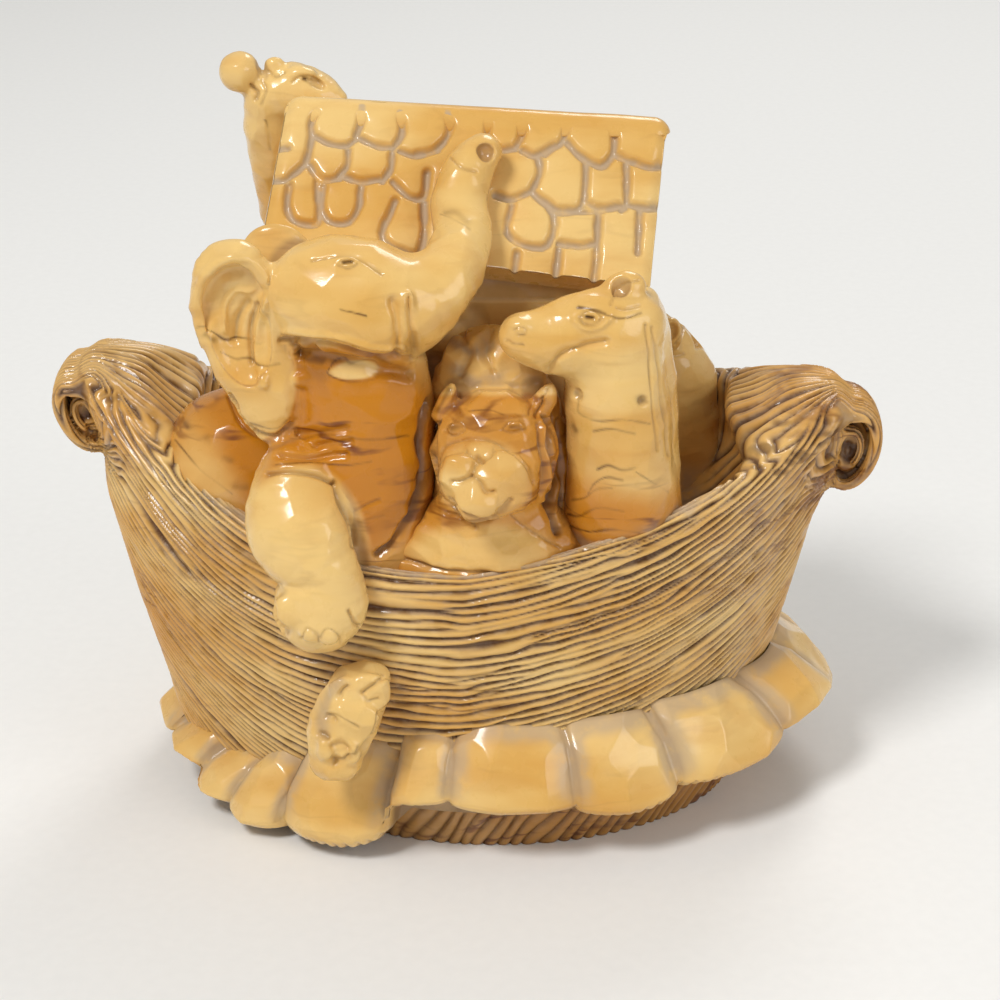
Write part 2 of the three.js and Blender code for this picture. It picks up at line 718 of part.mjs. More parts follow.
const elephantFarEar = egg(elephant, [-0.24, 0.13, 1.16], [0.14, 0.05, 0.16], { tilt: -20 });
const elephantBody = limb(elephant, [
  [0.02, 0.02, -0.02, 0.22, 0.2],
  [0.025, 0.01, 0.24, 0.245, 0.22],
  [0.035, 0, 0.5, 0.255, 0.22],
  [0.045, 0, 0.74, 0.24, 0.2],
  [0.02, 0, 0.96, 0.22, 0.18],
]);
const elephantRump = egg(elephant, [-0.4, 0.26, 0.3], [0.34, 0.28, 0.36]);
const elephantForeleg = limb(elephant, [
  [-0.18, -0.14, 0.5, 0.14, 0.13],
  [-0.19, -0.22, 0.4, 0.17, 0.14],
  [-0.16, -0.28, 0.3, 0.178, 0.14],
  [-0.1, -0.31, 0.2, 0.145, 0.13],
  [-0.105, -0.32, 0.1, 0.17, 0.13],
  [-0.12, -0.31, 0.03, 0.14, 0.12],
]);

// Lion

const lion = figureOn(0.075, -0.66, LION_HEIGHT);
const lionHead = egg(lion, [0, -0.125, 0.7], [0.275, 0.225, 0.3]);
const lionMuzzle = egg(lion, [-0.025, -0.3, 0.64], [0.225, 0.17, 0.2]);
const lionSternEar = egg(lion, [-0.2, -0.08, 0.95], [0.085, 0.06, 0.09]);
const lionBowEar = egg(lion, [0.21, -0.08, 0.96], [0.085, 0.06, 0.09]);
const lionMane = limb(lion, [
  [0, 0.075, -0.05, 0.375, 0.225],
  [0, 0.075, 0.375, 0.36, 0.2],
  [-0.0125, 0.075, 0.75, 0.33, 0.2],
  [-0.0125, 0.1, 1.05, 0.225, 0.15],
]);
const lionChest = limb(lion, [
  [-0.0375, -0.05, -0.05, 0.475, 0.25],
  [-0.025, -0.075, 0.2, 0.45, 0.24],
  [-0.0125, -0.1, 0.4, 0.275, 0.2],
  [-0.0125, -0.1, 0.55, 0.2, 0.175],
]);

// Horse

const horse = figureOn(0.41, -0.64, HORSE_HEIGHT);
const horseNeck = limb(horse, [
  [-0.005, 0.005, 0.07, 0.185, 0.15],
  [-0.005, -0.012, 0.26, 0.175, 0.155],
  [-0.02, -0.025, 0.467, 0.155, 0.15],
  [-0.035, -0.03, 0.667, 0.15, 0.14],
  [-0.03, -0.03, 0.8, 0.13, 0.125],
]);
const horseHead = limb(horse, [
  [0.01, -0.03, 0.855, 0.085, 0.085],
  [-0.06, -0.045, 0.84, 0.115, 0.105],
  [-0.16, -0.075, 0.82, 0.12, 0.1],
  [-0.25, -0.097, 0.82, 0.09, 0.083],
  [-0.305, -0.11, 0.835, 0.065, 0.065],
]);
const horseEar = egg(horse, [-0.02, -0.035, 0.945], [0.07, 0.045, 0.055], { tilt: -20 });
const horseMane = limb(horse, [
  [0.11, 0.05, -0.02, 0.067, 0.1],
  [0.12, 0.05, 0.2, 0.06, 0.105],
  [0.112, 0.05, 0.4, 0.055, 0.1],
  [0.1, 0.05, 0.6, 0.052, 0.09],
  [0.078, 0.037, 0.77, 0.05, 0.08],
  [0.052, 0.02, 0.89, 0.04, 0.067],
]);

// Giraffe

const giraffe = figureOn(-0.42, 0.52, GIRAFFE_HEIGHT);
const giraffeNeck = limb(giraffe, [
  [0.0875, 0.0375, -0.02, 0.1125, 0.1],
  [0.0375, 0.044, 0.2, 0.094, 0.0875],
  [-0.025, 0.025, 0.45, 0.075, 0.075],
  [-0.075, -0.019, 0.725, 0.0625, 0.0625],
  [-0.1, -0.056, 0.9, 0.06, 0.06],
]);
const giraffeHead = limb(giraffe, [
  [-0.1, -0.0625, 0.965, 0.06, 0.056],
  [-0.036, -0.069, 0.985, 0.066, 0.06],
  [0.02, -0.075, 0.975, 0.05, 0.05],
  [0.056, -0.081, 0.965, 0.032, 0.034],
]);
const giraffeHorn = egg(giraffe, [-0.159, -0.075, 1.0275], [0.0475, 0.0475, 0.0475]);
const giraffeEar = egg(giraffe, [-0.08, -0.075, 1.045], [0.025, 0.02, 0.022]);

// Hippo

const hippo = figureOn(0.635, 0.43, HIPPO_HEIGHT);
const hippoHead = egg(hippo, [-0.05, 0.04, 0.68], [0.3, 0.2, 0.17], { tilt: 45 });
const hippoBody = limb(hippo, [
  [-0.05, 0.05, -0.05, 0.275, 0.25],
  [-0.075, 0.05, 0.3, 0.25, 0.25],
  [-0.1, 0.0375, 0.6, 0.225, 0.225],
]);
const hippoEar = egg(hippo, [-0.12, -0.14, 0.82], [0.0625, 0.05, 0.0875]);

// Creature that climbs out of the waves

const creature = figureOn(-0.32, -1, CREATURE_LENGTH, SKIRT_TOP);
const waterCreature = limb(creature, [
  [-0.07, -0.22, -0.2, 0.24, 0.18],
  [-0.02, -0.14, 0.1, 0.29, 0.24],
  [0.13, -0.07, 0.38, 0.27, 0.22],
  [0.28, -0.01, 0.55, 0.17, 0.16],
]);

// The ark, each piece giving way to those above it in this list

settle('foot', 'gouged', foot);
place('stern_scroll', 'gouged', scroll(sternScroll));
reserve(scrollSpace(sternScroll));
place('bow_scroll', 'gouged', scroll(bowScroll));
reserve(scrollSpace(bowScroll));
settle('hull', 'gouged', hullShell);
settle('wave_skirt', 'sapwood', waveSkirt);
settle('water_creature', 'sapwood', waterCreature);
settle('roof_ridge', 'sapwood', roofRidge);
place('roof_front', 'sapwood', roofSlope(-1));
place('roof_back', 'sapwood', backSlope);
courseShares.forEach((course, row) => {
  place(`front_shingles_${row + 1}`, 'sapwood', shingleCourse(-1, course));
  place(`back_shingles_${row + 1}`, 'sapwood', shingleCourse(1, course));
});
reserve(roofSlope(-1, SHINGLE_SEAT + SHINGLE_THICKNESS));
reserve(roofSlope(1, SHINGLE_SEAT + SHINGLE_THICKNESS));
settle('cabin_walls', 'heartwood', cabinWalls);
settle('elephant_head', 'sapwood', elephantHead);
settle('elephant_trunk', 'sapwood', elephantTrunk);
settle('elephant_near_ear', 'sapwood', elephantNearEar);
settle('elephant_foreleg', 'sapwood', elephantForeleg);
settle('elephant_far_ear', 'sapwood', elephantFarEar);
settle('lion_muzzle', 'sapwood', lionMuzzle);
settle('lion_head', 'heartwood', lionHead);
settle('lion_stern_ear', 'heartwood', lionSternEar);
settle('lion_bow_ear', 'heartwood', lionBowEar);
settle('elephant_body', 'heartwood', elephantBody);
settle('lion_chest', 'heartwood', lionChest);
settle('horse_head', 'sapwood', horseHead);
settle('horse_ear', 'sapwood', horseEar);
settle('horse_neck', 'heartwood', horseNeck);
settle('lion_mane', 'heartwood', lionMane);
settle('horse_mane', 'sapwood', horseMane);
settle('elephant_rump', 'heartwood', elephantRump);
settle('giraffe_head', 'sapwood', giraffeHead);
settle('giraffe_horn', 'sapwood', giraffeHorn);
settle('giraffe_ear', 'sapwood', giraffeEar);
settle('giraffe_neck', 'sapwood', giraffeNeck);
settle('hippo_head', 'sapwood', hippoHead);
settle('hippo_ear', 'sapwood', hippoEar);
settle('hippo_body', 'heartwood', hippoBody);

export default ark;
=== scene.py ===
# An ark carved from one block of olive wood: its looks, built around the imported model.
# Shapes are worked out in millimetres and handed to Blender in metres.

import json
import math

import bpy
import numpy as np
import openvdb as vdb
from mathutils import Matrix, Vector


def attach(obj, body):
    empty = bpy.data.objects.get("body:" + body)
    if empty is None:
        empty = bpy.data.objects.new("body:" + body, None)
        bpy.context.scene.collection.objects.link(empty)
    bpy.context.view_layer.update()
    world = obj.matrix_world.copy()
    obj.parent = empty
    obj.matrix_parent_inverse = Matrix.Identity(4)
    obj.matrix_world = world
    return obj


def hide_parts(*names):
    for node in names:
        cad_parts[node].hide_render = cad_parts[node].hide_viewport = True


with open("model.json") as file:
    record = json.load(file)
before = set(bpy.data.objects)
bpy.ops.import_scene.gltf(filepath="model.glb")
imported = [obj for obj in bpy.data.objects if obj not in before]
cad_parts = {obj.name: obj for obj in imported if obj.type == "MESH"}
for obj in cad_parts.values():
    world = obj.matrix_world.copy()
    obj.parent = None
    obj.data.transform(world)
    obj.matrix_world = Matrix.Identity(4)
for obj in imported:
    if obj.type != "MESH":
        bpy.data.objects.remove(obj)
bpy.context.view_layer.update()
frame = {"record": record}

# Driving dimensions of the carving, in millimetres, as in the CAD model
MM = 0.001
FOOT_LENGTH = 94.0
FOOT_WIDTH = 72.0
FOOT_HEIGHT = 9.0
FOOT_FLARE = 3.0
FLUTE_DEPTH = 1.3
FLUTE_COUNT = 110
SKIRT_REACH = 6.4
SKIRT_BREADTH = 10.0
SKIRT_TOP = 29.0
WAVE_LIP_HEIGHT = 15.0
WAVE_BULGE = 2.6
WAVE_CREASE = 1.4
CREASE_LIFT = 1.0
HULL_LENGTH = 136.0
HULL_BEAM = 85.0
HULL_SHIFT = -5.5
HULL_FLOOR = 11.0
HULL_WALL = 4.5
DECK_HEIGHT = 50.0
BULWARK_HEIGHT = 9.0
STERN_SHEER_RISE = 22.0
BOW_SHEER_RISE = 16.5
BOW_SHEER_POWER = 1.2
STERN_SHEER_POWER = 2.3
SCROLL_ROOT_THICKNESS = 4.6
SCROLL_THICKNESS = 2.7
SCROLL_TIP_THICKNESS = 1.5
VOLUTE_TURNS = 1.35
VOLUTE_TAPER_POWER = 4
VOLUTE_SHRINK_SHARE = 0.33
TIP_WIDTH_SHARE = 0.7
BARREL_SHARE = 0.12
CABIN_LENGTH = 61.0
CABIN_WIDTH = 32.0
CABIN_BACKSET = 3.0
EAVE_RISE = 57.0
RIDGE_RISE = 79.0
ROOF_LENGTH = 67.0
ROOF_SHIFT = -3.4
ROOF_WIDTH = 42.0
EAVE_SLIDE = 3.6
ROOF_THICKNESS = 4.0
ROOF_TILT = 2.0
EAVE_DROP = 2.1
SHINGLE_RISE = 1.5
ELEPHANT_LENGTH = 50.0
LION_HEIGHT = 40.0
HORSE_HEIGHT = 60.0
GIRAFFE_HEIGHT = 80.0
HIPPO_HEIGHT = 40.0
CREATURE_LENGTH = 20.0

# Fineness of the modelled meshes: steps in millimetres, and counts of columns and rows
FIGURE_STEP = 0.3
HULL_STEP = 0.3
CABIN_STEP = 0.45
RIDGE_STEP = 0.35
SLOPE_STEP = 0.27
SKIRT_GRID = (1300, 84)
FOOT_GRID = (1980, 24)
# How far from a surface its distances are kept, and a distance larger than any
BAND = 2.6
FAR = 60.0

# The photograph's view: the camera looks along +Y and down, at this point of the carving
PHOTO_SIZE = 1000
CAMERA_DISTANCE = 430.0
CAMERA_ELEVATION = math.radians(25)
CAMERA_TARGET = np.array([0.0, 0.0, 54.0])
TARGET_PIXEL = (497.0, 500.0)
FOCAL_PIXELS = 2263.0
PIXEL_MM = CAMERA_DISTANCE / FOCAL_PIXELS
SENSOR_WIDTH = 36.0

LOOK = np.array([0.0, math.cos(CAMERA_ELEVATION), -math.sin(CAMERA_ELEVATION)])
SCREEN_RIGHT = np.array([1.0, 0.0, 0.0])
SCREEN_UP = np.cross(SCREEN_RIGHT, LOOK)
CAMERA_PLACE = CAMERA_TARGET - LOOK * CAMERA_DISTANCE


def link_object(name, data):
    thing = bpy.data.objects.new(name, data)
    bpy.context.scene.collection.objects.link(thing)
    return thing


def make_camera():
    data = bpy.data.cameras.new("camera")
    data.sensor_width = SENSOR_WIDTH
    data.lens = FOCAL_PIXELS * SENSOR_WIDTH / PHOTO_SIZE
    data.shift_x = (PHOTO_SIZE / 2 - TARGET_PIXEL[0]) / PHOTO_SIZE
    data.shift_y = (TARGET_PIXEL[1] - PHOTO_SIZE / 2) / PHOTO_SIZE
    data.clip_start = 0.01
    data.clip_end = 20
    camera = link_object("camera", data)
    camera.location = Vector(CAMERA_PLACE * MM)
    camera.rotation_euler = (math.pi / 2 - CAMERA_ELEVATION, 0, 0)
    bpy.context.scene.camera = camera


def project(points):
    """Where points in millimetres fall in the photograph, in pixels."""
    rays = points - CAMERA_PLACE
    depth = rays @ LOOK
    u = TARGET_PIXEL[0] + FOCAL_PIXELS * (rays @ SCREEN_RIGHT) / depth
    v = TARGET_PIXEL[1] - FOCAL_PIXELS * (rays @ SCREEN_UP) / depth
    return np.stack([u, v], axis=-1)


def sight_ray(u, v):
    return (
        LOOK
        + SCREEN_RIGHT * (u - TARGET_PIXEL[0]) / FOCAL_PIXELS
        - SCREEN_UP * (v - TARGET_PIXEL[1]) / FOCAL_PIXELS
    )


# Numbers

def lerp(start, end, share):
    return start + (end - start) * share


def smooth_step(low, high, value):
    share = np.clip((value - low) / (high - low), 0, 1)
    return share * share * (3 - 2 * share)


def smooth_min(first, second, blend):
    overlap = np.maximum(blend - np.abs(first - second), 0) / np.maximum(blend, 1e-6)
    return np.minimum(first, second) - overlap * overlap * blend / 4


def smooth_max(first, second, blend):
    return -smooth_min(-first, -second, blend)


# A hash of whole places and a seed: their factors, then shifts with the factors that follow them
HASH_FACTORS = (73856093, 19349663, 83492791, 26544357)
HASH_MIXERS = ((13, 1274126177), (15, 461845907))


def lattice(ix, iy, iz, seed):
    """A number between -1 and 1 for each whole place, always the same for the same seed."""
    mixed = 0
    for value, factor in zip((ix, iy, iz, seed), HASH_FACTORS):
        mixed = mixed ^ (value * factor)
    for shift, factor in HASH_MIXERS:
        mixed = ((mixed ^ (mixed >> shift)) * factor) & 0x7FFFFFFF
    return (mixed >> 7 & 0xFFFF) / 32767.5 - 1


def noise(points, scale, seed=0):
    """Smooth noise between -1 and 1, with bumps about one scale apart, another for each seed."""
    place = points / scale
    cell = np.floor(place).astype(np.int64)
    part = place - cell
    part = part * part * (3 - 2 * part)
    total = 0.0
    for corner in range(8):
        offset = np.array([corner & 1, corner >> 1 & 1, corner >> 2 & 1])
        weight = np.prod(np.where(offset, part, 1 - part), axis=-1)
        total = total + weight * lattice(*(cell + offset).T, seed).T
    return total


# How far a knife cut's middle may stray from the middle of its cell
SCOOP_JITTER = 0.42


def scoops(points, scale, seed):
    """Knife cuts about one scale wide: low in the middle of a cut, high on the edges between."""
    place = points / scale
    cell = np.floor(place).astype(np.int64)
    nearest = np.full(len(points), FAR)
    for corner in range(27):
        home = cell + (corner % 3 - 1, corner // 3 % 3 - 1, corner // 9 - 1)
        jitter = np.stack([lattice(*home.T, seed + axis) for axis in range(3)], axis=1)
        away = ((place - home - 0.5 - SCOOP_JITTER * jitter) ** 2).sum(axis=1)
        nearest = np.minimum(nearest, away)
    return nearest


def curve_through(rows, steps):
    """A smooth path through rows of numbers, as points evenly spread in its parameter."""
    rows = np.asarray(rows, float)
    if len(rows) < 3:
        return np.array([lerp(rows[0], rows[-1], share) for share in np.linspace(0, 1, steps)])
    ends = np.concatenate([[2 * rows[0] - rows[1]], rows, [2 * rows[-1] - rows[-2]]])
    place = np.linspace(0, len(rows) - 1, steps)
    index = np.minimum(place.astype(int), len(rows) - 2)
    t = (place - index)[:, None]
    a, b, c, d = (ends[index + shift] for shift in range(4))
    return 0.5 * (
        2 * b + (c - a) * t + (2 * a - 5 * b + 4 * c - d) * t**2 + (3 * b - 3 * c + d - a) * t**3
    )


def reach_segment(x, y, start, end):
    """How far along a flat segment places come nearest to it, as a share, and how far off."""
    run = end - start
    share = ((x - start[0]) * run[0] + (y - start[1]) * run[1]) / max(run @ run, 1e-9)
    share = np.clip(share, 0, 1)
    return share, np.hypot(x - start[0] - share * run[0], y - start[1] - share * run[1])


# Round forms

class Egg:
    """An ellipsoid turned by tilt about the beam, in degrees."""

    def __init__(self, middle, radii, tilt=0):
        self.middle = np.asarray(middle, float)
        self.radii = np.asarray(radii, float)
        self.tilt = math.radians(tilt)

    def box(self):
        reach = self.radii.max()
        return self.middle - reach, self.middle + reach

    def field(self, x, y, z):
        x, y, z = x - self.middle[0], y - self.middle[1], z - self.middle[2]
        x, z = (
            x * math.cos(self.tilt) - z * math.sin(self.tilt),
            z * math.cos(self.tilt) + x * math.sin(self.tilt),
        )
        return oval_distance((x, y, z), self.radii)


def oval_distance(parts, radii):
    """About how far a place lies outside an ellipsoid, from its parts along the three radii."""
    shares = sum((part / radius) ** 2 for part, radius in zip(parts, radii))
    slopes = sum((part / radius**2) ** 2 for part, radius in zip(parts, radii))
    reach = np.sqrt(shares)
    return reach * (reach - 1) / np.maximum(np.sqrt(slopes), 1e-6)


class Limb:
    """A tapering limb through stations of x, y, z, half breadth and half depth."""

    def __init__(self, stations, steps=None):
        self.path = curve_through(stations, steps or len(stations) * 3)

    def box(self):
        girth = self.path[:, 3:].max(axis=1, keepdims=True)
        return (self.path[:, :3] - girth).min(axis=0), (self.path[:, :3] + girth).max(axis=0)

    def field(self, x, y, z):
        nearest = None
        for start, end in zip(self.path[:-1], self.path[1:]):
            heading = end[:3] - start[:3]
            length = np.linalg.norm(heading)
            heading = heading / length
            across = np.cross((0, -1, 0), heading)
            across = across / max(np.linalg.norm(across), 1e-6)
            towards = np.cross(heading, across)
            rest = (x - start[0], y - start[1], z - start[2])
            parts = [sum(r * a for r, a in zip(rest, axis)) for axis in (across, towards, heading)]
            share = np.clip(parts[2] / length, 0, 1)
            breadth = lerp(start[3], end[3], share)
            depth = lerp(start[4], end[4], share)
            parts[2] = parts[2] - share * length
            distance = oval_distance(parts, (breadth, depth, np.minimum(breadth, depth)))
            nearest = distance if nearest is None else np.minimum(nearest, distance)
        return nearest


class Figure:
    """A place and a size: the tables of its forms are shares of that size."""

    def __init__(self, along_share, across_share, size, height=DECK_HEIGHT):
        self.size = size
        self.origin = np.array([
            HULL_SHIFT + along_share * HULL_LENGTH / 2,
            across_share * HULL_BEAM / 2,
            height,
        ])

    def egg(self, middle_shares, radius_shares, tilt=0):
        middle = np.array(middle_shares) * self.size + self.origin
        return Egg(middle, np.array(radius_shares) * self.size, tilt)

    def limb(self, station_shares):
        stations = np.array(station_shares) * self.size
        stations[:, :3] += self.origin
        return Limb(stations)


class Clay:
    """A block of distances to the nearest surface, negative inside, made into a mesh at zero."""

    def __init__(self, low, high, step):
        self.step = step
        self.first = np.floor(np.asarray(low) / step).astype(int)
        last = np.ceil(np.asarray(high) / step).astype(int)
        self.axes = [
            (np.arange(first, end + 1) * step).astype(np.float32)
            for first, end in zip(self.first, last)
        ]
        self.block = np.full([len(axis) for axis in self.axes], FAR, np.float32)

    def window(self, form, margin):
        low, high = form.box()
        spans = []
        for axis, start, end in zip(self.axes, low - margin, high + margin):
            spans.append(slice(*np.searchsorted(axis, (start, end))))
        x, y, z = (axis[span] for axis, span in zip(self.axes, spans))
        return tuple(spans), (x[:, None, None], y[None, :, None], z[None, None, :])

    def add(self, form, blend=0.0, ease=None):
        spans, places = self.window(form, blend + BAND * 2)
        eased = blend if ease is None else blend * ease(*places)
        self.block[spans] = smooth_min(self.block[spans], form.field(*places), eased)

    def cut(self, form, blend=0.0):
        spans, places = self.window(form, blend + BAND * 2)
        self.block[spans] = smooth_max(self.block[spans], -form.field(*places), blend)

    def halve_step(self):
        """Makes the block twice as fine, with the new places midway between the old ones."""
        for axis in range(3):
            coarse = np.moveaxis(self.block, axis, 0)
            fine = np.empty((2 * len(coarse) - 1, *coarse.shape[1:]), np.float32)
            fine[::2] = coarse
            fine[1::2] = (coarse[:-1] + coarse[1:]) / 2
            self.block = np.moveaxis(fine, 0, axis)
        self.step = self.step / 2
        self.first = self.first * 2
        self.axes = [
            ((first + np.arange(count)) * self.step).astype(np.float32)
            for first, count in zip(self.first, self.block.shape)
        ]

    def mesh(self):
        grid = vdb.FloatGrid(BAND)
        block = np.ascontiguousarray(np.clip(self.block, -BAND, BAND))
        grid.copyFromArray(block, ijk=tuple(int(i) for i in self.first))
        grid.transform = vdb.createLinearTransform(voxelSize=self.step)
        points, quads = grid.convertToQuads(0.0)
        return points.astype(np.float64), quads.astype(np.int64)


# Meshes

def face_normals(points, faces):
    first = points[faces[:, 2]] - points[faces[:, 0]]
    second = points[faces[:, 3]] - points[faces[:, 1]]
    return np.cross(first, second)


def point_normals(points, faces):
    total = np.zeros_like(points)
    flat = face_normals(points, faces)
    for corner in range(faces.shape[1]):
        for axis in range(3):
            total[:, axis] += np.bincount(faces[:, corner], flat[:, axis], len(points))
    return total / np.maximum(np.linalg.norm(total, axis=1, keepdims=True), 1e-9)


def push_out(points, faces, normals, heights):
    """The points moved along their normals by their heights, and their normals after that."""
    moved = points + normals * heights[:, None]
    return moved, point_normals(moved, faces)


def add_piece(name, nodes, points, faces, normals, masks, material):
    """Makes one visual piece, with its colour masks, and lets it stand for its nodes."""
    used, flat = np.unique(faces, return_inverse=True)
    flat = flat.reshape(faces.shape)
    mesh = bpy.data.meshes.new(name)
    mesh.vertices.add(len(used))
    mesh.vertices.foreach_set("co", (points[used] * MM).astype(np.float32).ravel())
    mesh.loops.add(flat.size)
    mesh.loops.foreach_set("vertex_index", flat.ravel().astype(np.int32))
    mesh.polygons.add(len(flat))
    corners = faces.shape[1]
    mesh.polygons.foreach_set("loop_start", np.arange(0, flat.size, corners, dtype=np.int32))
    mesh.update(calc_edges=True)
    mesh.polygons.foreach_set("use_smooth", np.ones(len(flat), bool))
    mesh.normals_split_custom_set_from_vertices(normals[used])
    for mask, values in masks.items():
        layer = mesh.attributes.new(mask, "FLOAT", "POINT")
        layer.data.foreach_set("value", np.asarray(values)[used].astype(np.float32))
    mesh.materials.append(material)
    piece = link_object(name, mesh)
    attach(piece, "root")
    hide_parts(*nodes)


SLOTS = {part["node"]: part["material_slot"] for part in frame["record"]["subparts"]}


# Materials

def linear(code):
    """A web colour as Blender's linear numbers."""
    parts = [(code >> shift & 255) / 255 for shift in (16, 8, 0)]
    return (*[p / 12.92 if p <= 0.04045 else ((p + 0.055) / 1.055) ** 2.4 for p in parts], 1)


# The sockets of a Mix node that mixes colours
MIX_FIRST = 6
MIX_SECOND = 7
MIX_RESULT = 2


class Nodes:
    """Short words for building a material's nodes."""

    def __init__(self, name):
        self.material = bpy.data.materials.new(name)
        self.material.use_nodes = True
        self.tree = self.material.node_tree
        self.shader = self.tree.nodes["Principled BSDF"]

    def node(self, kind, settings=(), **inputs):
        node = self.tree.nodes.new(kind)
        for key, value in dict(settings).items():
            setattr(node, key, value)
        for key, value in inputs.items():
            self.feed(node.inputs[key.replace("_", " ")], value)
        return node

    def feed(self, socket, value):
        if isinstance(value, bpy.types.NodeSocket):
            self.tree.links.new(value, socket)
        else:
            socket.default_value = value

    def mask(self, name):
        return self.node("ShaderNodeAttribute", {"attribute_name": name}).outputs["Fac"]

    def math(self, operation, first, second=0.0):
        node = self.node("ShaderNodeMath", {"operation": operation})
        self.feed(node.inputs[0], first)
        self.feed(node.inputs[1], second)
        return node.outputs[0]

    def ramp(self, value, low, high):
        """0 below low, 1 above high, smooth between."""
        node = self.node("ShaderNodeMapRange", {"interpolation_type": "SMOOTHSTEP"})
        for socket, number in zip(("Value", "From Min", "From Max"), (value, low, high)):
            self.feed(node.inputs[socket], number)
        return node.outputs["Result"]

    def mix(self, share, first, second):
        node = self.node("ShaderNodeMix", {"data_type": "RGBA"})
        self.feed(node.inputs["Factor"], share)
        self.feed(node.inputs[MIX_FIRST], first)
        self.feed(node.inputs[MIX_SECOND], second)
        return node.outputs[MIX_RESULT]

    def noise(self, place, scale, detail=3.0, stretch=(1, 1, 1)):
        mapping = self.node("ShaderNodeMapping", Vector=place)
        mapping.inputs["Scale"].default_value = stretch
        return self.node(
            "ShaderNodeTexNoise", Vector=mapping.outputs[0], Scale=scale, Detail=detail
        ).outputs["Fac"]


PALE = linear(0xEAC47C)
HONEY = linear(0xDBA957)
ORANGE = linear(0xC27A12)
RUST = linear(0x6E3208)
UMBER = linear(0x48220A)
ASH = linear(0xAE967C)
DUST = linear(0xB9A286)
EARTH = linear(0x70481C)

# The wood's patterns: bumps to a metre, the folds and width of the ring lines, the bump's depth
TINT_SCALE = 30
STREAK_SCALE = 150
GRIME_SCALE = 300
RING_SCALE = 55
RING_PATCH_SCALE = 90
RING_FOLDS = 11
RING_WIDTH = 0.15
BUMP_DEPTH = 0.0002


def make_wood(name, warmth, roughness, grooves, earthy):
    """Lacquered olive wood: pale, with warm heartwood and dark ring lines where the masks say.

    The masks are residue in the grooves, settled dust, warm heartwood and dark stains. Residue,
    warm and dark also carry painted shade: in creases, deep in gouges and flutes, and under the
    skirt.
    """
    wood = Nodes(name)
    place = wood.node("ShaderNodeTexCoord").outputs["Object"]
    tint = wood.noise(place, TINT_SCALE, 3, (1, 1, 2.2))
    streak = wood.noise(place, STREAK_SCALE, 4, (0.3, 1, 1.6))
    grime = wood.noise(place, GRIME_SCALE, 4)
    cloud = wood.math("MULTIPLY", wood.math("SUBTRACT", tint, 0.5), 0.7)
    warm = wood.ramp(wood.math("ADD", wood.mask("warm"), cloud), 0.12, 0.85)
    colour = wood.mix(wood.ramp(tint, 0.36, 0.66), PALE, HONEY)
    colour = wood.mix(wood.math("MULTIPLY", wood.ramp(streak, 0.45, 0.75), 0.22), colour, ORANGE)
    colour = wood.mix(wood.math("MULTIPLY", warm, warmth), colour, ORANGE)
    colour = wood.mix(ring_lines(wood, place, warm), colour, RUST)
    # The residue mask holds residue, and painted shade in figure creases and under the skirt
    residue = wood.math("MULTIPLY", wood.mask("residue"), wood.ramp(grime, 0.15, 0.5))
    residue = wood.math("MULTIPLY", residue, grooves)
    residue_and_shade_tone = wood.mix(wood.math("MULTIPLY", wood.ramp(grime, 0.4, 0.65), earthy), ASH, EARTH)
    colour = wood.mix(residue, colour, residue_and_shade_tone)
    dust = wood.math("MULTIPLY", wood.mask("dust"), wood.ramp(grime, 0.2, 0.55))
    colour = wood.mix(dust, colour, DUST)
    # The dark mask holds stains, knots and veins, and painted shade
    colour = wood.mix(wood.mask("dark"), colour, UMBER)
    wood.feed(wood.shader.inputs["Base Color"], colour)
    dull = wood.math("MULTIPLY", wood.math("MAXIMUM", residue, dust), 0.35)
    gloss = wood.math("ADD", dull, roughness)
    gloss = wood.math("ADD", gloss, wood.math("MULTIPLY", grime, 0.12))
    wood.feed(wood.shader.inputs["Roughness"], gloss)
    wood.shader.inputs["Specular IOR Level"].default_value = 0.2
    wood.shader.inputs["Coat Weight"].default_value = 0.55
    wood.shader.inputs["Coat Roughness"].default_value = 0.12
    height = wood.math("ADD", wood.math("MULTIPLY", streak, 0.5), wood.math("MULTIPLY", grime, 0.3))
    bump = wood.node("ShaderNodeBump", Strength=0.4, Distance=BUMP_DEPTH, Height=height)
    wood.feed(wood.shader.inputs["Normal"], bump.outputs["Normal"])
    return wood.material


def ring_lines(wood, place, warm):
    """Thin dark lines along levels of a slow noise that runs mostly level, as growth rings do."""
    slow = wood.noise(place, RING_SCALE, 5, (0.22, 0.22, 1))
    folded = wood.math("PINGPONG", wood.math("MULTIPLY", slow, RING_FOLDS), 0.5)
    line = wood.math("SUBTRACT", 1, wood.ramp(folded, 0.0, RING_WIDTH))
    patchy = wood.ramp(wood.noise(place, RING_PATCH_SCALE, 2), 0.4, 0.6)
    weight = wood.math("ADD", wood.math("MULTIPLY", warm, 0.8), 0.08)
    return wood.math("MULTIPLY", wood.math("MULTIPLY", line, patchy), weight)


WOOD_KINDS = {
    "sapwood": {"warmth": 0.9, "roughness": 0.22, "grooves": 0.7, "earthy": 0.15},
    "heartwood": {"warmth": 1.0, "roughness": 0.22, "grooves": 0.8, "earthy": 0.5},
    "gouged": {"warmth": 0.6, "roughness": 0.3, "grooves": 0.9, "earthy": 1.0},
}
WOOD = {name: make_wood(name, **numbers) for name, numbers in WOOD_KINDS.items()}


# Hull and its rolled ends

# From bottom to rim: share of the height, of the length and of the beam, and shift to the stern
HULL_LEVELS = np.array([
    (0, 0.84, 0.8, 0),
    (0.15, 0.86, 0.86, 0.01),
    (0.4, 0.92, 0.93, 0.015),
    (0.7, 0.985, 0.98, 0.015),
    (1, 1, 1, 0),
])
WELL_LEVELS = np.array([(0, 0.72, 0.86, 0), (0.4, 0.84, 0.94, 0), (1, 0.96, 1, 0)])
RIM_ROUND = 4.2
DECK_ROUND = 5.0
ROLL_BLEND = 10.0
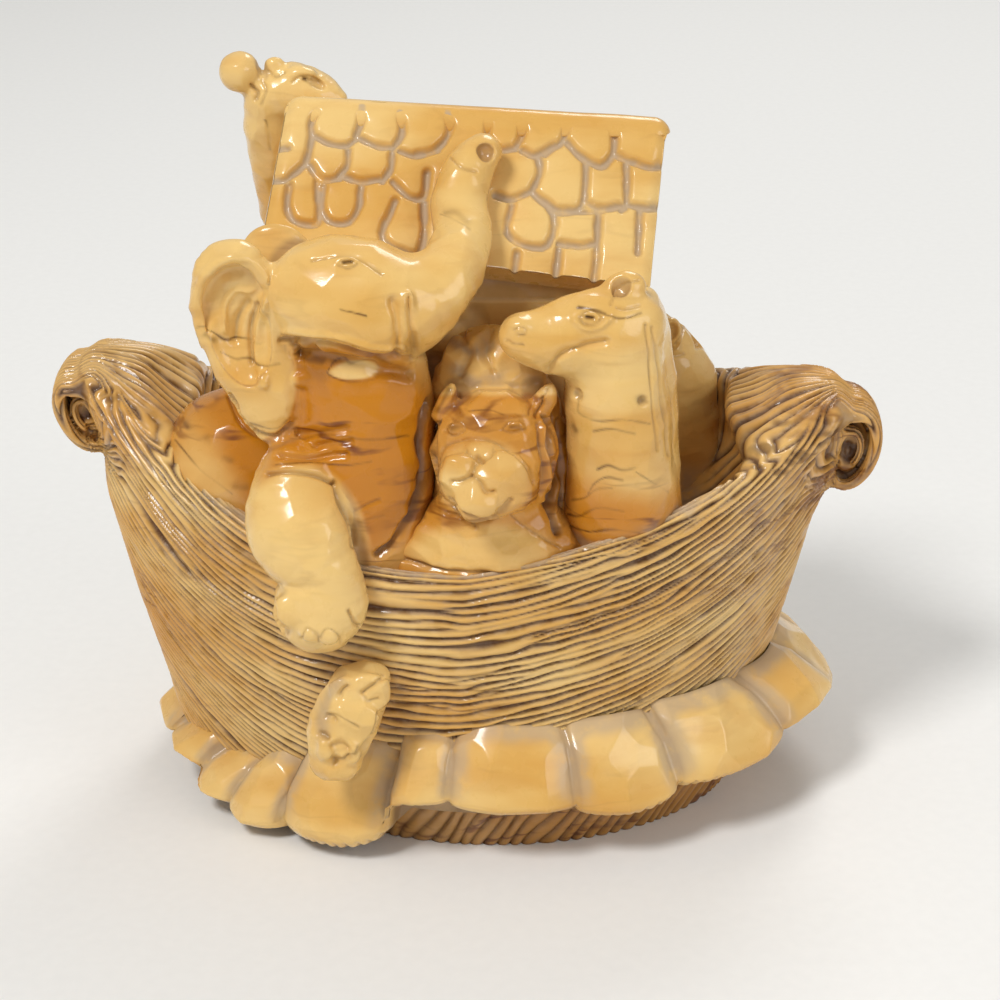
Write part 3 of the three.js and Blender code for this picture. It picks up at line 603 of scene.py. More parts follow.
# The middle of a curl is filled with an egg, by its share of the curl's height and width
CORE_SHARE = 0.85
CORE_REACH = 0.8
# The steps of a plank's climb out of the hull and of its curl
CLIMB_STEPS = 12
VOLUTE_STEPS = 60
# A roll's side view is worked out once, on a table of this step and margin
TABLE_STEP = 0.2
TABLE_MARGIN = 22.0


def rim_height(reach):
    """The height of the rim where the cosine of its angle from the bow is reach."""
    towards_bow = BOW_SHEER_RISE * np.maximum(reach, 0) ** BOW_SHEER_POWER
    towards_stern = STERN_SHEER_RISE * np.maximum(-reach, 0) ** STERN_SHEER_POWER
    return DECK_HEIGHT + BULWARK_HEIGHT + towards_bow + towards_stern


def ring_distance(x, y, z, levels, bottom, inset):
    """How far a place lies outside an oval wall whose plan changes from bottom to rim."""
    rise, lengths, beams, sterns = levels.T
    reach = np.clip((x - HULL_SHIFT) / (HULL_LENGTH / 2), -1, 1) + 0 * y
    for _ in range(2):
        share = (z - bottom) / (rim_height(reach) - bottom)
        half_length = HULL_LENGTH / 2 * np.interp(share, rise, lengths) - inset
        half_beam = HULL_BEAM / 2 * np.interp(share, rise, beams) - inset
        middle = HULL_SHIFT - HULL_LENGTH / 2 * np.interp(share, rise, sterns)
        along = (x - middle) / half_length
        across = y / half_beam
        radius = np.maximum(np.hypot(along, across), 1e-4)
        reach = along / radius
    slope = np.hypot(along / half_length, across / half_beam)
    return radius * (radius - 1) / np.maximum(slope, 1e-5), reach


class Hull:
    """The boat's body with its well, from the skirt to the rounded rim."""

    def box(self):
        half = np.array([HULL_LENGTH / 2, HULL_BEAM / 2, 0])
        middle = np.array([HULL_SHIFT, 0, 0])
        top = DECK_HEIGHT + BULWARK_HEIGHT + STERN_SHEER_RISE
        return middle - half + [0, 0, HULL_FLOOR], middle + half + [0, 0, top]

    def field(self, x, y, z):
        side, reach = ring_distance(x, y, z, HULL_LEVELS, HULL_FLOOR, 0)
        inner, _ = ring_distance(x, y, z, WELL_LEVELS, DECK_HEIGHT, HULL_WALL)
        body = smooth_max(side, z - rim_height(reach), RIM_ROUND)
        body = np.maximum(body, HULL_FLOOR - z)
        well = smooth_max(inner, DECK_HEIGHT - z, DECK_ROUND)
        return smooth_max(body, -well, RIM_ROUND)


class Roll:
    """A plank that climbs out of the hull and curls outwards over its own end, like a barrel.

    Its side is 1 at the bow and -1 at the stern. Reach and rise place the curl's middle, past the
    hull's end and over the rim amidships, and lean turns the curl outwards, in degrees.
    """

    def __init__(self, side, reach, rise, height, depth, width, lean, climb):
        turn = math.radians(lean)
        self.middle = np.array([
            HULL_SHIFT + side * (HULL_LENGTH / 2 + reach),
            DECK_HEIGHT + BULWARK_HEIGHT + rise,
        ])
        self.outwards = np.array([side * math.cos(turn), -math.sin(turn)])
        self.upwards = np.array([side * math.sin(turn), math.cos(turn)])
        half_depth = (depth - SCROLL_THICKNESS) / 2
        half_height = (height - SCROLL_THICKNESS) / 2
        slope = curve_through(climb, CLIMB_STEPS + 1)[:-1]
        slope_share = np.linspace(0, 1, CLIMB_STEPS + 1)[:-1]
        share = np.linspace(0, 1, VOLUTE_STEPS + 1)
        angle = share * VOLUTE_TURNS * 2 * math.pi
        shrink = lerp(1, VOLUTE_SHRINK_SHARE, share)
        out = np.concatenate([slope[:, 0], np.sin(angle) * shrink]) * half_depth
        up = np.concatenate([slope[:, 1], np.cos(angle) * shrink]) * half_height
        self.path = self.middle + out[:, None] * self.outwards + up[:, None] * self.upwards
        taper = lerp(TIP_WIDTH_SHARE, 1, (1 - share) ** VOLUTE_TAPER_POWER)
        self.half_width = np.concatenate([slope[:, 2], taper]) * width / 2
        self.top_half_width = self.half_width[CLIMB_STEPS]
        self.half_thickness = np.concatenate([
            lerp(SCROLL_ROOT_THICKNESS, SCROLL_THICKNESS, slope_share),
            lerp(SCROLL_THICKNESS, SCROLL_TIP_THICKNESS, share),
        ]) / 2
        core_width = width / 2 * TIP_WIDTH_SHARE * CORE_REACH
        self.core = Egg(
            (self.middle[0], 0, self.middle[1]),
            (half_depth * CORE_SHARE, core_width, half_height * CORE_SHARE),
        )
        self.corner = self.path.min(axis=0) - TABLE_MARGIN
        count = ((self.path.max(axis=0) + TABLE_MARGIN - self.corner) / TABLE_STEP).astype(int)
        x, z = (start + np.arange(n) * TABLE_STEP for start, n in zip(self.corner, count))
        self.table = self.lengthwise(x[:, None], z[None, :])

    def box(self):
        low, high = self.path.min(axis=0) - 3, self.path.max(axis=0) + 3
        width = self.half_width.max()
        return np.array([low[0], -width, low[1]]), np.array([high[0], width, high[1]])

    def ease(self, x, y, z):
        """1 where the plank grows out of the hull, 0 round its curl."""
        out = (x - self.middle[0]) * self.outwards[0] + (z - self.middle[1]) * self.outwards[1]
        return smooth_step(2.5, -6.0, out) + 0 * y

    def lengthwise(self, x, z):
        """The nearest place on the path: how far it is, and the plank's half sizes there."""
        best = np.full(np.broadcast(x, z).shape, FAR)
        width = np.zeros_like(best)
        thickness = np.full_like(best, SCROLL_THICKNESS / 2)
        for index in range(len(self.path) - 1):
            share, away = reach_segment(x, z, self.path[index], self.path[index + 1])
            half = lerp(self.half_thickness[index], self.half_thickness[index + 1], share)
            closer = away - half < best - thickness
            best = np.where(closer, away, best)
            thickness = np.where(closer, half, thickness)
            breadth = lerp(self.half_width[index], self.half_width[index + 1], share)
            width = np.where(closer, breadth, width)
        return best, width, thickness

    def read_table(self, x, z):
        """The lengthwise numbers at places, read between the steps of the table."""
        places = []
        for value, start, count in zip((x, z), self.corner, self.table[0].shape):
            places.append(np.clip((value - start) / TABLE_STEP, 0, count - 1.001))
        column, row = (place.astype(int) for place in places)
        aside, above = (place - np.floor(place) for place in places)
        return [
            lerp(
                lerp(numbers[column, row], numbers[column + 1, row], aside),
                lerp(numbers[column, row + 1], numbers[column + 1, row + 1], aside),
                above,
            )
            for numbers in self.table
        ]

    def field(self, x, y, z):
        _, width, _ = self.read_table(x, z)
        pull = 1 - BARREL_SHARE * np.minimum(np.abs(y) / np.maximum(width, 1), 1) ** 2
        across, up = ((value - middle) / pull for value, middle in zip((x, z), self.middle))
        away, width, thickness = self.read_table(across + self.middle[0], up + self.middle[1])
        aside = np.maximum(np.abs(y) - (width - thickness), 0)
        plank = (np.hypot(away, aside) - thickness) * pull
        return np.minimum(plank, self.core.field(x, y, z))


# The climbs are stations: out and up in shares of the curl's half sizes, and the plank's
# width there in shares of the curl's
STERN_ROLL = Roll(side=-1, reach=2, rise=14.3, height=19.5, depth=12, width=20, lean=24, climb=[
    (-3.46, -0.815, 1.6),
    (-2.27, 0.04, 1.35),
    (-1.155, 0.705, 1.1),
    (0, 1, 1),
])
BOW_ROLL = Roll(side=1, reach=2.8, rise=6.8, height=21.5, depth=14, width=16, lean=12, climb=[
    (-3.73, 0.145, 1.9),
    (-2.6, 0.54, 1.5),
    (-1.455, 0.89, 1.2),
    (0, 1, 1),
])

# The gouged lines lie level along the sides, and run lengthwise over the rolls and down inside
END_SWEEP = 12.0
LINES_OVER_ROLL = 14.0
GOUGE_PITCH = 1.85
GOUGE_DEPTH = 1.1
# A gouge is this much longer than it is wide
GOUGE_STRETCH = 5.5
# Added to the noise's place, so that the two sides differ
SIDE_APART = 300
# The block that holds the hull and its rolls, in millimetres
HULL_BLOCK = ((-84, -46, 10), (76, 46, 86))
# Where the hull and a roll run together, the hull keeps this much more
HULL_FAVOUR = 0.4
KNOT_DARKNESS = 0.55


def gouge_place(points):
    """Where a point lies among the gouged lines: across them and along them, in millimetres."""
    x, y, z = points.T
    side, reach = ring_distance(x, y, z, HULL_LEVELS, HULL_FLOOR, 0)
    turn = np.arccos(np.clip(np.abs(reach), 0, 1))
    round_side = np.arccos(np.clip(reach, -1, 1)) * HULL_LENGTH / 2
    drop = rim_height(reach) - z
    inward = np.clip(-side, 0, HULL_WALL)
    level = drop * (1 - 2 * smooth_step(1.5, 3.5, inward)) - inward
    level = level + END_SWEEP * smooth_step(1.15, 0.1, turn)
    along_share = np.clip((x - HULL_SHIFT) / (HULL_LENGTH / 2), -1, 1)
    roll_width = np.where(x < 0, STERN_ROLL.top_half_width, BOW_ROLL.top_half_width)
    width = smooth_max(HULL_BEAM / 2 * np.sqrt(1 - along_share**2), roll_width, 6)
    over = END_SWEEP - LINES_OVER_ROLL * (1 - np.minimum(np.abs(y) / width, 1))
    inside_or_past = np.maximum(smooth_step(-1.2, -3.2, side), smooth_step(0.9, 3.0, side))
    near_top = smooth_step(16, 7, drop) * smooth_step(0.45, 0.2, turn)
    lengthwise = np.maximum(inside_or_past * smooth_step(0.75, 0.35, turn), near_top)
    across = lerp(level, over, lengthwise)
    past_bow = HULL_SHIFT + HULL_LENGTH / 2 - x
    past_stern = math.pi * HULL_LENGTH / 2 + HULL_SHIFT - HULL_LENGTH / 2 - x
    along = lerp(round_side, np.where(x < 0, past_stern, past_bow), lengthwise)
    return across, along


def gouged(points):
    """Depth of the gouged lines at the points, and how far down in a line each point is."""
    across, along = gouge_place(points)
    side = np.sign(points[:, 1]) * SIDE_APART
    wide = np.stack([along / GOUGE_STRETCH, across, side], axis=1)
    drift = noise(wide, 4.5, 3) * 1.3 + noise(wide * (2.2, 1, 1), 1.7, 4) * 0.5
    first = np.abs(np.sin((across + drift) / GOUGE_PITCH * math.pi)) ** 0.75
    second = np.abs(np.sin((across - drift * 0.7) / (GOUGE_PITCH * 0.8) * math.pi)) ** 0.7
    share = smooth_step(-0.15, 0.35, noise(wide, 3.1, 6) - 0.12)
    height = lerp(first, second, share)
    uneven = 0.85 + 0.55 * noise(wide, 2.2, 5)
    cut = np.clip((1 - height) * uneven, 0, 1.1)
    return cut * GOUGE_DEPTH, np.clip(cut * 1.6, 0, 1)


# Dark knots of the hull as they show in the photograph: place and radius in pixels
HULL_KNOTS = [
    (781, 422, 7),
    (762, 448, 9),
    (827, 434, 6),
    (803, 456, 8),
    (781, 472, 6),
    (790, 462, 6),
    (757, 466, 5),
    (110, 398, 6),
    (640, 700, 4),
]


def hull_warmth(points):
    """Heartwood comes to the surface towards both ends."""
    drift = noise(points, 13, 61) * 14
    towards_bow = smooth_step(24, 64, points[:, 0] + drift)
    towards_stern = smooth_step(-50, -74, points[:, 0] + drift)
    return 0.2 + 0.45 * towards_bow + 0.3 * towards_stern


def rim_dust(points):
    """Mauve-grey dust along the rim's inner edge, beside the figures."""
    side, reach = ring_distance(*points.T, HULL_LEVELS, HULL_FLOOR, 0)
    band = smooth_step(-1.1, -2.6, side + noise(points, 2.4, 63) * 0.8)
    return band * smooth_step(0.8, 0.55, np.abs(reach)) * 0.9


def knot_darkness(points, knots):
    pixels = project(points)
    dark = np.zeros(len(points))
    for u, v, radius in knots:
        away = np.hypot((pixels[:, 0] - u) * 0.5, pixels[:, 1] - v) / radius
        away = away + noise(points, 1.6, 62) * 0.35
        dark = np.maximum(dark, smooth_step(0.9, 0.3, away))
    return dark * KNOT_DARKNESS


def build_hull():
    hull = Hull()
    rolls = (STERN_ROLL, BOW_ROLL)
    clay = Clay(*HULL_BLOCK, HULL_STEP * 2)
    clay.add(hull)
    clay.halve_step()
    for roll in rolls:
        clay.add(roll, ROLL_BLEND, roll.ease)
    points, faces = clay.mesh()
    normals = point_normals(points, faces)
    depth, groove = gouged(points)
    near_deck = smooth_step(DECK_HEIGHT + 3.5, DECK_HEIGHT + 1, points[:, 2])
    deck = near_deck * smooth_step(0.5, 0.8, normals[:, 2])
    dust = np.maximum(deck, rim_dust(points))
    depth = depth * (1 - deck) * (1 - 0.3 * dust)
    moved, normals = push_out(points, faces, normals, -depth)
    nearest = np.stack([form.field(*points.T) for form in (hull, *rolls)])
    nearest[0] -= HULL_FAVOUR
    label = nearest.argmin(axis=0)[faces[:, 0]]
    inner, _ = ring_distance(*points.T, WELL_LEVELS, DECK_HEIGHT, HULL_WALL)
    above_deck = smooth_step(DECK_HEIGHT - 1, DECK_HEIGHT + 2, points[:, 2])
    inside = smooth_step(2.2, 0.6, inner) * above_deck
    # Darker deep in the gouges and on the well's inner wall: painted shade
    valley_shade = np.maximum(groove**2 * 0.75, inside * (0.02 + 0.12 * groove)) * (1 - dust * 0.7)
    masks = {
        "residue": groove,
        "dust": dust,
        "warm": hull_warmth(points),
        "dark": np.maximum(valley_shade, knot_darkness(points, HULL_KNOTS)),
    }
    front = points[faces[:, 0], 1] < 0
    astern = points[faces[:, 0], 0] < HULL_SHIFT
    shares = {
        "hull_front_astern": ("hull", (label == 0) & front & astern),
        "hull_front_ahead": ("hull", (label == 0) & front & ~astern),
        "hull_behind_astern": ("hull", (label == 0) & ~front & astern),
        "hull_behind_ahead": ("hull", (label == 0) & ~front & ~astern),
        "stern_roll": ("stern_scroll", label == 1),
        "bow_roll": ("bow_scroll", label == 2),
    }
    for name, (node, chosen) in shares.items():
        add_piece(name, [node], moved, faces[chosen], normals, masks, WOOD["gouged"])


# Foot and skirt of waves

# Each wave runs from the crease before it to its own, at this angle in degrees from the bow.
# Its other numbers say how far its lip drops, how far its top sinks, and how much it bulges.
FIRST_CREASE = -166
WAVES = [
    (-151, 0.5, 0.42, 0.8),
    (-140, 0.75, 0.5, 1.2),
    (-128, 0.85, 0.42, 1.5),
    (-108, 0.85, 0.2, 1.3),
    (-98, 0.1, 0.1, 1),
    (-77, 0.2, 0.06, 1),
    (-59, 0.33, 0.04, 1),
    (-34, 0.1, 0, 1),
    (-10, -0.2, 0, 1),
    (16, 0.1, 0.04, 1),
    (42, 0.05, 0.06, 1),
    (67, 0.15, 0.08, 1),
    (92, 0.05, 0.06, 1),
    (117, 0.2, 0.1, 1),
    (143, 0.3, 0.2, 1),
    (168, 0.4, 0.3, 1),
    (194, 0.45, 0.36, 1),
]
# From lip to top: share of the skirt's plan, and share of its height
WAVE_LEVELS = np.array([(0.95, 0), (1.01, 0.05), (1.03, 0.2), (0.955, 0.65), (0.84, 1)])
SWELL_POWER = 0.38
# The lip is ragged where the flutes' cuts ran into it, between these angles
RAGGED_TURNS = (-165, -25)
RAGGED_RISE = 1.6
RAGGED_FADE = 8
# Knife cuts over the petals: their depth and width
PETAL_SCOOP = 1.6
PETAL_CUT_WIDTH = 8
# The rings from the foot out to the lip, and the share of the plan where they reach it
SEAT_ROWS = 12
LIP_PLAN = 0.93


def grid_faces(rows, columns):
    """Quads over a grid of points, closed round its columns."""
    row, column = np.meshgrid(np.arange(rows - 1), np.arange(columns), indexing="ij")
    following = (column + 1) % columns
    faces = [row * columns + column, row * columns + following]
    faces += [(row + 1) * columns + following, (row + 1) * columns + column]
    return np.stack([corner.ravel() for corner in faces], axis=1)


def wave_profile(turns):
    """For each angle in degrees: how far out the wave stands, its lip, its top and its swell."""
    creases = np.array([FIRST_CREASE] + [wave[0] for wave in WAVES], float)
    index = np.clip(np.searchsorted(creases, turns, side="right") - 1, 0, len(WAVES) - 1)
    share = (turns - creases[index]) / (creases[index + 1] - creases[index])
    swell = np.maximum(np.sin(share * math.pi), 0) ** SWELL_POWER
    drop, sink, bulge = (np.array([wave[part] for wave in WAVES]) for part in (1, 2, 3))
    lips = WAVE_LIP_HEIGHT * (1 - drop)
    before = lips[(index - 1) % len(WAVES)]
    after = lips[(index + 1) % len(WAVES)]
    neighbour = lerp(before, after, smooth_step(0.3, 0.7, share))
    crease_lip = (lips[index] + neighbour) / 2 + CREASE_LIFT
    outward = WAVE_BULGE * bulge[index] * swell - WAVE_CREASE
    lip = lerp(crease_lip, lips[index], swell)
    top = SKIRT_TOP * (1 - sink[index]) - WAVE_CREASE * (1 - swell)
    return outward, lip, top, swell


def ragged(turns):
    """How far the lip is nicked at each angle."""
    beat = np.radians(turns) * FLUTE_COUNT * 0.9 + noise_ring(turns, 3, 32) * 2
    teeth = np.abs(np.sin(beat)) ** 0.6
    patchy = smooth_step(-0.35, 0.2, noise_ring(turns, 11, 31))
    first, last = RAGGED_TURNS
    within = smooth_step(first, first + RAGGED_FADE, turns)
    within = within * smooth_step(last, last - RAGGED_FADE, turns)
    return RAGGED_RISE * (1 - teeth) * patchy * within


def build_skirt():
    columns, rows = SKIRT_GRID
    turns = FIRST_CREASE + np.arange(columns) / columns * 360
    outward, lip, top, swell = wave_profile(turns)
    nicks = ragged(turns)
    angle = np.radians(turns)
    half_length = HULL_LENGTH / 2 * HULL_LEVELS[0, 1] + SKIRT_REACH
    half_width = HULL_BEAM / 2 * HULL_LEVELS[0, 2] + SKIRT_BREADTH
    rings = []
    for share in np.linspace(0, 1, SEAT_ROWS)[:-1]:
        along = lerp(FOOT_LENGTH / 2 + FOOT_FLARE, half_length * LIP_PLAN + outward, share)
        across = lerp(FOOT_WIDTH / 2 + FOOT_FLARE, half_width * LIP_PLAN + outward, share)
        x, y = np.cos(angle) * along, np.sin(angle) * across
        rings.append(np.stack([x, y, lerp(FOOT_HEIGHT, lip + 0.4 + nicks, share ** 0.8)], axis=1))
    levels = curve_through(WAVE_LEVELS, rows)
    for plan, rise in levels:
        x = np.cos(angle) * (half_length * plan + outward)
        y = np.sin(angle) * (half_width * plan + outward)
        nicked = nicks * np.clip(1 - rise / 0.12, 0, 1)
        rings.append(np.stack([x, y, lerp(lip, top, rise) + nicked], axis=1))
    points = np.concatenate(rings)
    faces = grid_faces(len(rings), columns)
    normals = point_normals(points, faces)
    height = np.repeat(np.concatenate([np.zeros(SEAT_ROWS - 1), levels[:, 1]]), columns)
    scooped = scoops(points * (1, 1, 0.8), PETAL_CUT_WIDTH, 7) - 0.55
    bumps = scooped * PETAL_SCOOP + noise(points, 3.5, 8) * 0.08
    bumps = np.minimum(bumps, 0.1) * smooth_step(0, 0.12, height)
    moved, normals = push_out(points, faces, normals, bumps)
    crease = np.tile(1 - smooth_step(0.3, 0.8, swell), len(rings))
    dusty = noise(points, 2.2, 9) * 0.25
    top_band = smooth_step(0.78, 0.98, height + dusty * 0.2)
    residue = np.maximum(crease * (0.7 + dusty), top_band * 0.5) * smooth_step(0.06, 0.3, height)
    beside = np.tile(smooth_step(0.84, 0.5, swell), len(rings)) + smooth_step(0.8, 0.98, height)
    dust = np.clip(beside + dusty * beside, 0, 0.55) * smooth_step(0.1, 0.45, height)
    # Painted shade: the underside from the foot out to the lip gets residue, warmth and dark, and
    # the creases between waves a little dark
    under = 1 - smooth_step(0.0, 0.03, height)
    masks = {
        "residue": np.maximum(residue, under * 0.8),
        "dust": dust,
        "warm": smooth_step(0.25, 0.75, noise(points, 16, 10)) * 0.22 + under * 0.3,
        "dark": under * 0.4 + smooth_step(0.97, 1.0, height) * 0.3 + crease**3 * 0.12,
    }
    add_piece("wave_petals", ["wave_skirt"], moved, faces, normals, masks, WOOD["sapwood"])


def noise_ring(turns, scale, seed):
    """Noise round the foot, the same again after a full turn."""
    radius = 360 / scale / (2 * math.pi)
    angle = np.radians(turns)
    ring = np.stack([np.cos(angle) * radius, np.sin(angle) * radius, 0 * angle], axis=1)
    return noise(ring + 7.3, 1, seed)


# The shallowest that a flute gets, and the share to which the foot's bottom is drawn in
LEAST_INSET = 0.02
BOTTOM_SHARE = 0.001


def build_foot():
    columns, rows = FOOT_GRID
    turns = np.arange(columns) / columns * 360
    rings = []
    for share in np.linspace(0, 1, rows):
        slanted = turns - share * lerp(1, 6, smooth_step(-105, -75, turns))
        wander = noise_ring(turns, 9, 11) * 1.6 + noise_ring(turns + share * 2, 4, 12) * 0.7
        ridge = np.abs(np.cos(np.radians(slanted + wander) * FLUTE_COUNT / 2)) ** 0.5
        inset = FLUTE_DEPTH * (1 - ridge) * (0.8 + 0.3 * noise_ring(turns, 5, 13))
        inset = np.maximum(inset, LEAST_INSET)
        angle = np.radians(turns)
        x = np.cos(angle) * (FOOT_LENGTH / 2 + FOOT_FLARE * share - inset)
        y = np.sin(angle) * (FOOT_WIDTH / 2 + FOOT_FLARE * share - inset)
        rings.append((np.stack([x, y, 0 * x + FOOT_HEIGHT * share], axis=1), inset))
    points = np.concatenate([ring for ring, _ in rings])
    inset = np.concatenate([inset for _, inset in rings])
    bottom = points[:columns] * (BOTTOM_SHARE, BOTTOM_SHARE, 0)
    points = np.concatenate([bottom, points])
    faces = grid_faces(rows + 1, columns)
    normals = point_normals(points, faces)
    groove = np.concatenate([np.zeros(columns), inset / FLUTE_DEPTH])
    masks = {
        "residue": 0.15 + groove * 0.3,
        "warm": np.full(len(points), 0.8),
        # Darker down in the flutes: painted shade
        "dark": 0.3 + groove * 0.6,
    }
    add_piece("fluted_foot", ["foot"], points, faces, normals, masks, WOOD["gouged"])


# Cabin and roof

def ridge_point(end):
    x = ROOF_SHIFT + end * ROOF_LENGTH / 2
    return np.array([x, CABIN_BACKSET, DECK_HEIGHT + RIDGE_RISE - end * ROOF_TILT])


def eave_point(end, side):
    x = ROOF_SHIFT - EAVE_SLIDE + end * ROOF_LENGTH / 2
    y = CABIN_BACKSET + side * ROOF_WIDTH / 2
    return np.array([x, y, DECK_HEIGHT + EAVE_RISE - end * (ROOF_TILT + EAVE_DROP)])


def slope_normal(side):
    """The way out of a slope's face, square to it."""
    run = eave_point(1, side) - eave_point(-1, side)
    fall = eave_point(0, side) - ridge_point(0)
    normal = np.cross(fall, run) * -side
    return normal / np.linalg.norm(normal)


def slope_points(side, along, down, above):
    """Places on a slope: along from stern to bow, down from ridge to eave, above its face."""
    end = (along * 2 - 1)[..., None]
    ridge = ridge_point(0) + end * (ridge_point(1) - ridge_point(0))
    eave = eave_point(0, side) + end * (eave_point(1, side) - eave_point(0, side))
    flat = ridge + (eave - ridge) * down[..., None]
    return flat + slope_normal(side) * above[..., None]


SLOPE_LENGTH = float(np.linalg.norm(eave_point(0, -1) - ridge_point(0)))


def slope_shares_at(pixels):
    """Where sight lines through pixels of the photograph meet the front slope."""
    corner = ridge_point(-1)
    run = ridge_point(1) - corner
    fall = eave_point(0, -1) - ridge_point(0)
    shares = []
    for u, v in pixels:
        ray = sight_ray(u, v)
        solved = np.linalg.solve(np.stack([run, fall, -ray], axis=1), CAMERA_PLACE - corner)
        shares.append(solved[:2])
    return np.array(shares)


# Grooves between the front shingles, course by course, as they run in the photograph.
# They are in pixels of a picture that is enlarged by ROOF_ZOOM and starts at ROOF_CORNER.
ROOF_ZOOM = 3.015
ROOF_CORNER = (180, 40)
FRONT_GROOVES = [
    [(412, 228), (395, 265), (398, 300), (395, 330), (380, 390)],
    [(548, 212), (545, 260), (530, 300)],
    [(663, 228), (668, 290), (640, 340)],
    [(805, 225), (812, 280), (775, 335), (710, 355)],
    [(930, 225), (925, 290), (915, 305)],
    [(1028, 232), (1030, 290), (1010, 330)],
    [(1165, 265), (1150, 310), (1100, 345)],
    [(1308, 240), (1305, 340), (1270, 380)],
    [(400, 300), (450, 325), (500, 330), (530, 310)],
    [(530, 300), (590, 330), (640, 335)],
    [(660, 345), (710, 358), (775, 340)],
    [(925, 300), (960, 335), (1010, 330)],
    [(1030, 335), (1070, 350), (1130, 320)],
    [(1165, 310), (1210, 355), (1270, 380), (1300, 350)],
    [(1310, 345), (1360, 365), (1420, 380), (1450, 370)],
    [(285, 338), (325, 345)],
    [(508, 345), (505, 390), (480, 430)],
    [(640, 350), (635, 400), (610, 440)],
    [(262, 435), (310, 450), (340, 430), (380, 390)],
    [(390, 395), (425, 440), (480, 435)],
    [(500, 430), (545, 445), (600, 435)],
    [(640, 440), (690, 485), (735, 480), (745, 410)],
    [(1080, 360), (1085, 400), (1060, 455)],
    [(1225, 365), (1215, 480), (1180, 510)],
    [(1345, 365), (1345, 480), (1330, 500)],
    [(950, 470), (1000, 480), (1060, 455)],
    [(1060, 455), (1130, 505), (1200, 505)],
    [(1215, 485), (1270, 500), (1330, 490)],
    [(1345, 485), (1400, 495), (1440, 485)],
    [(330, 460), (325, 530), (345, 575), (400, 585), (420, 560), (415, 450)],
    [(430, 460), (428, 540), (460, 575), (510, 570), (540, 520), (545, 460)],
    [(650, 500), (610, 600), (640, 640), (710, 660), (735, 610), (735, 500)],
    [(1000, 500), (985, 580), (1040, 615), (1110, 610), (1125, 520), (1060, 460)],
    [(1260, 510), (1255, 620)],
    [(1385, 500), (1380, 620)],
    [(1140, 515), (1270, 505)],
    [(1140, 605), (1200, 610), (1250, 600)],
    [(1015, 640), (1005, 715)],
    [(1140, 620), (1130, 715)],
    [(1255, 630), (1245, 720)],
]

# The back courses of shingles: top, foot, and the joints between tabs, in shares of the slope
BACK_COURSES = [
    (0.12, 0.33, (0.1, 0.22, 0.32, 0.44, 0.545, 0.63, 0.74, 0.86)),
    (0.35, 0.55, (0.09, 0.19, 0.3, 0.4, 0.49, 0.57, 0.67, 0.78, 0.89)),
    (0.57, 0.76, (0.07, 0.15, 0.24, 0.33, 0.42, 0.52, 0.61, 0.72, 0.83, 0.94)),
    (0.78, 0.95, (0.08, 0.16, 0.25, 0.34, 0.43, 0.52, 0.62, 0.72, 0.82, 0.92)),
]
SHINGLE_GROOVE_WIDTH = 1.75
SHINGLE_GROOVE_DEPTH = 1.15
# The peak's rounding: its radius, its middle below the peak, and where it leaves the slopes
RIDGE_ROUND = 3.3
RIDGE_SINK = 2.9
RIDGE_BEND = 2.1
RIDGE_BAND_RISE = 1.3
# Around a groove's path, how far its distances are worked out
GROOVE_MARGIN = 4
# The rows of a slope's edge, and how far they bulge
EDGE_ROWS = 6
EDGE_BULGE = 0.25
# How near the slope's ends the shingles come, and how far a course reaches past its own share
END_BORDER = 1.2
COURSE_LAP = 0.02
# How far in from its ends a slope is rounded off, and how far in from the peak's corners
END_ROUND = 2.4
PEAK_CORNER = 4


def path_distance(across, along, path):
    """The distance from flat places to a path of points."""
    nearest = np.full(np.broadcast(across, along).shape, FAR)
    for start, end in zip(path[:-1], path[1:]):
        _, away = reach_segment(across, along, start, end)
        nearest = np.minimum(nearest, away)
    return nearest


def front_groove_paths():
    for marks in FRONT_GROOVES:
        shares = slope_shares_at(np.array(marks) / ROOF_ZOOM + ROOF_CORNER)
        yield curve_through(shares * (ROOF_LENGTH, SLOPE_LENGTH), 16)


def back_groove_paths():
    for top, foot, joints in BACK_COURSES:
        edges = np.array((0.02,) + joints + (0.98,))
        for joint in joints:
            middle = (joint + 0.004, (top + foot) / 2)
            stations = [(joint, top - 0.02), middle, (joint - 0.004, foot - 0.03)]
            yield curve_through(np.array(stations) * (ROOF_LENGTH, SLOPE_LENGTH), 12)
        for left, right in zip(edges[:-1], edges[1:]):
            sag = [
                (left, foot - 0.05),
                (lerp(left, right, 0.25), foot),
                (lerp(left, right, 0.7), foot),
                (right, foot - 0.05),
            ]
            yield curve_through(np.array(sag) * (ROOF_LENGTH, SLOPE_LENGTH), 14)


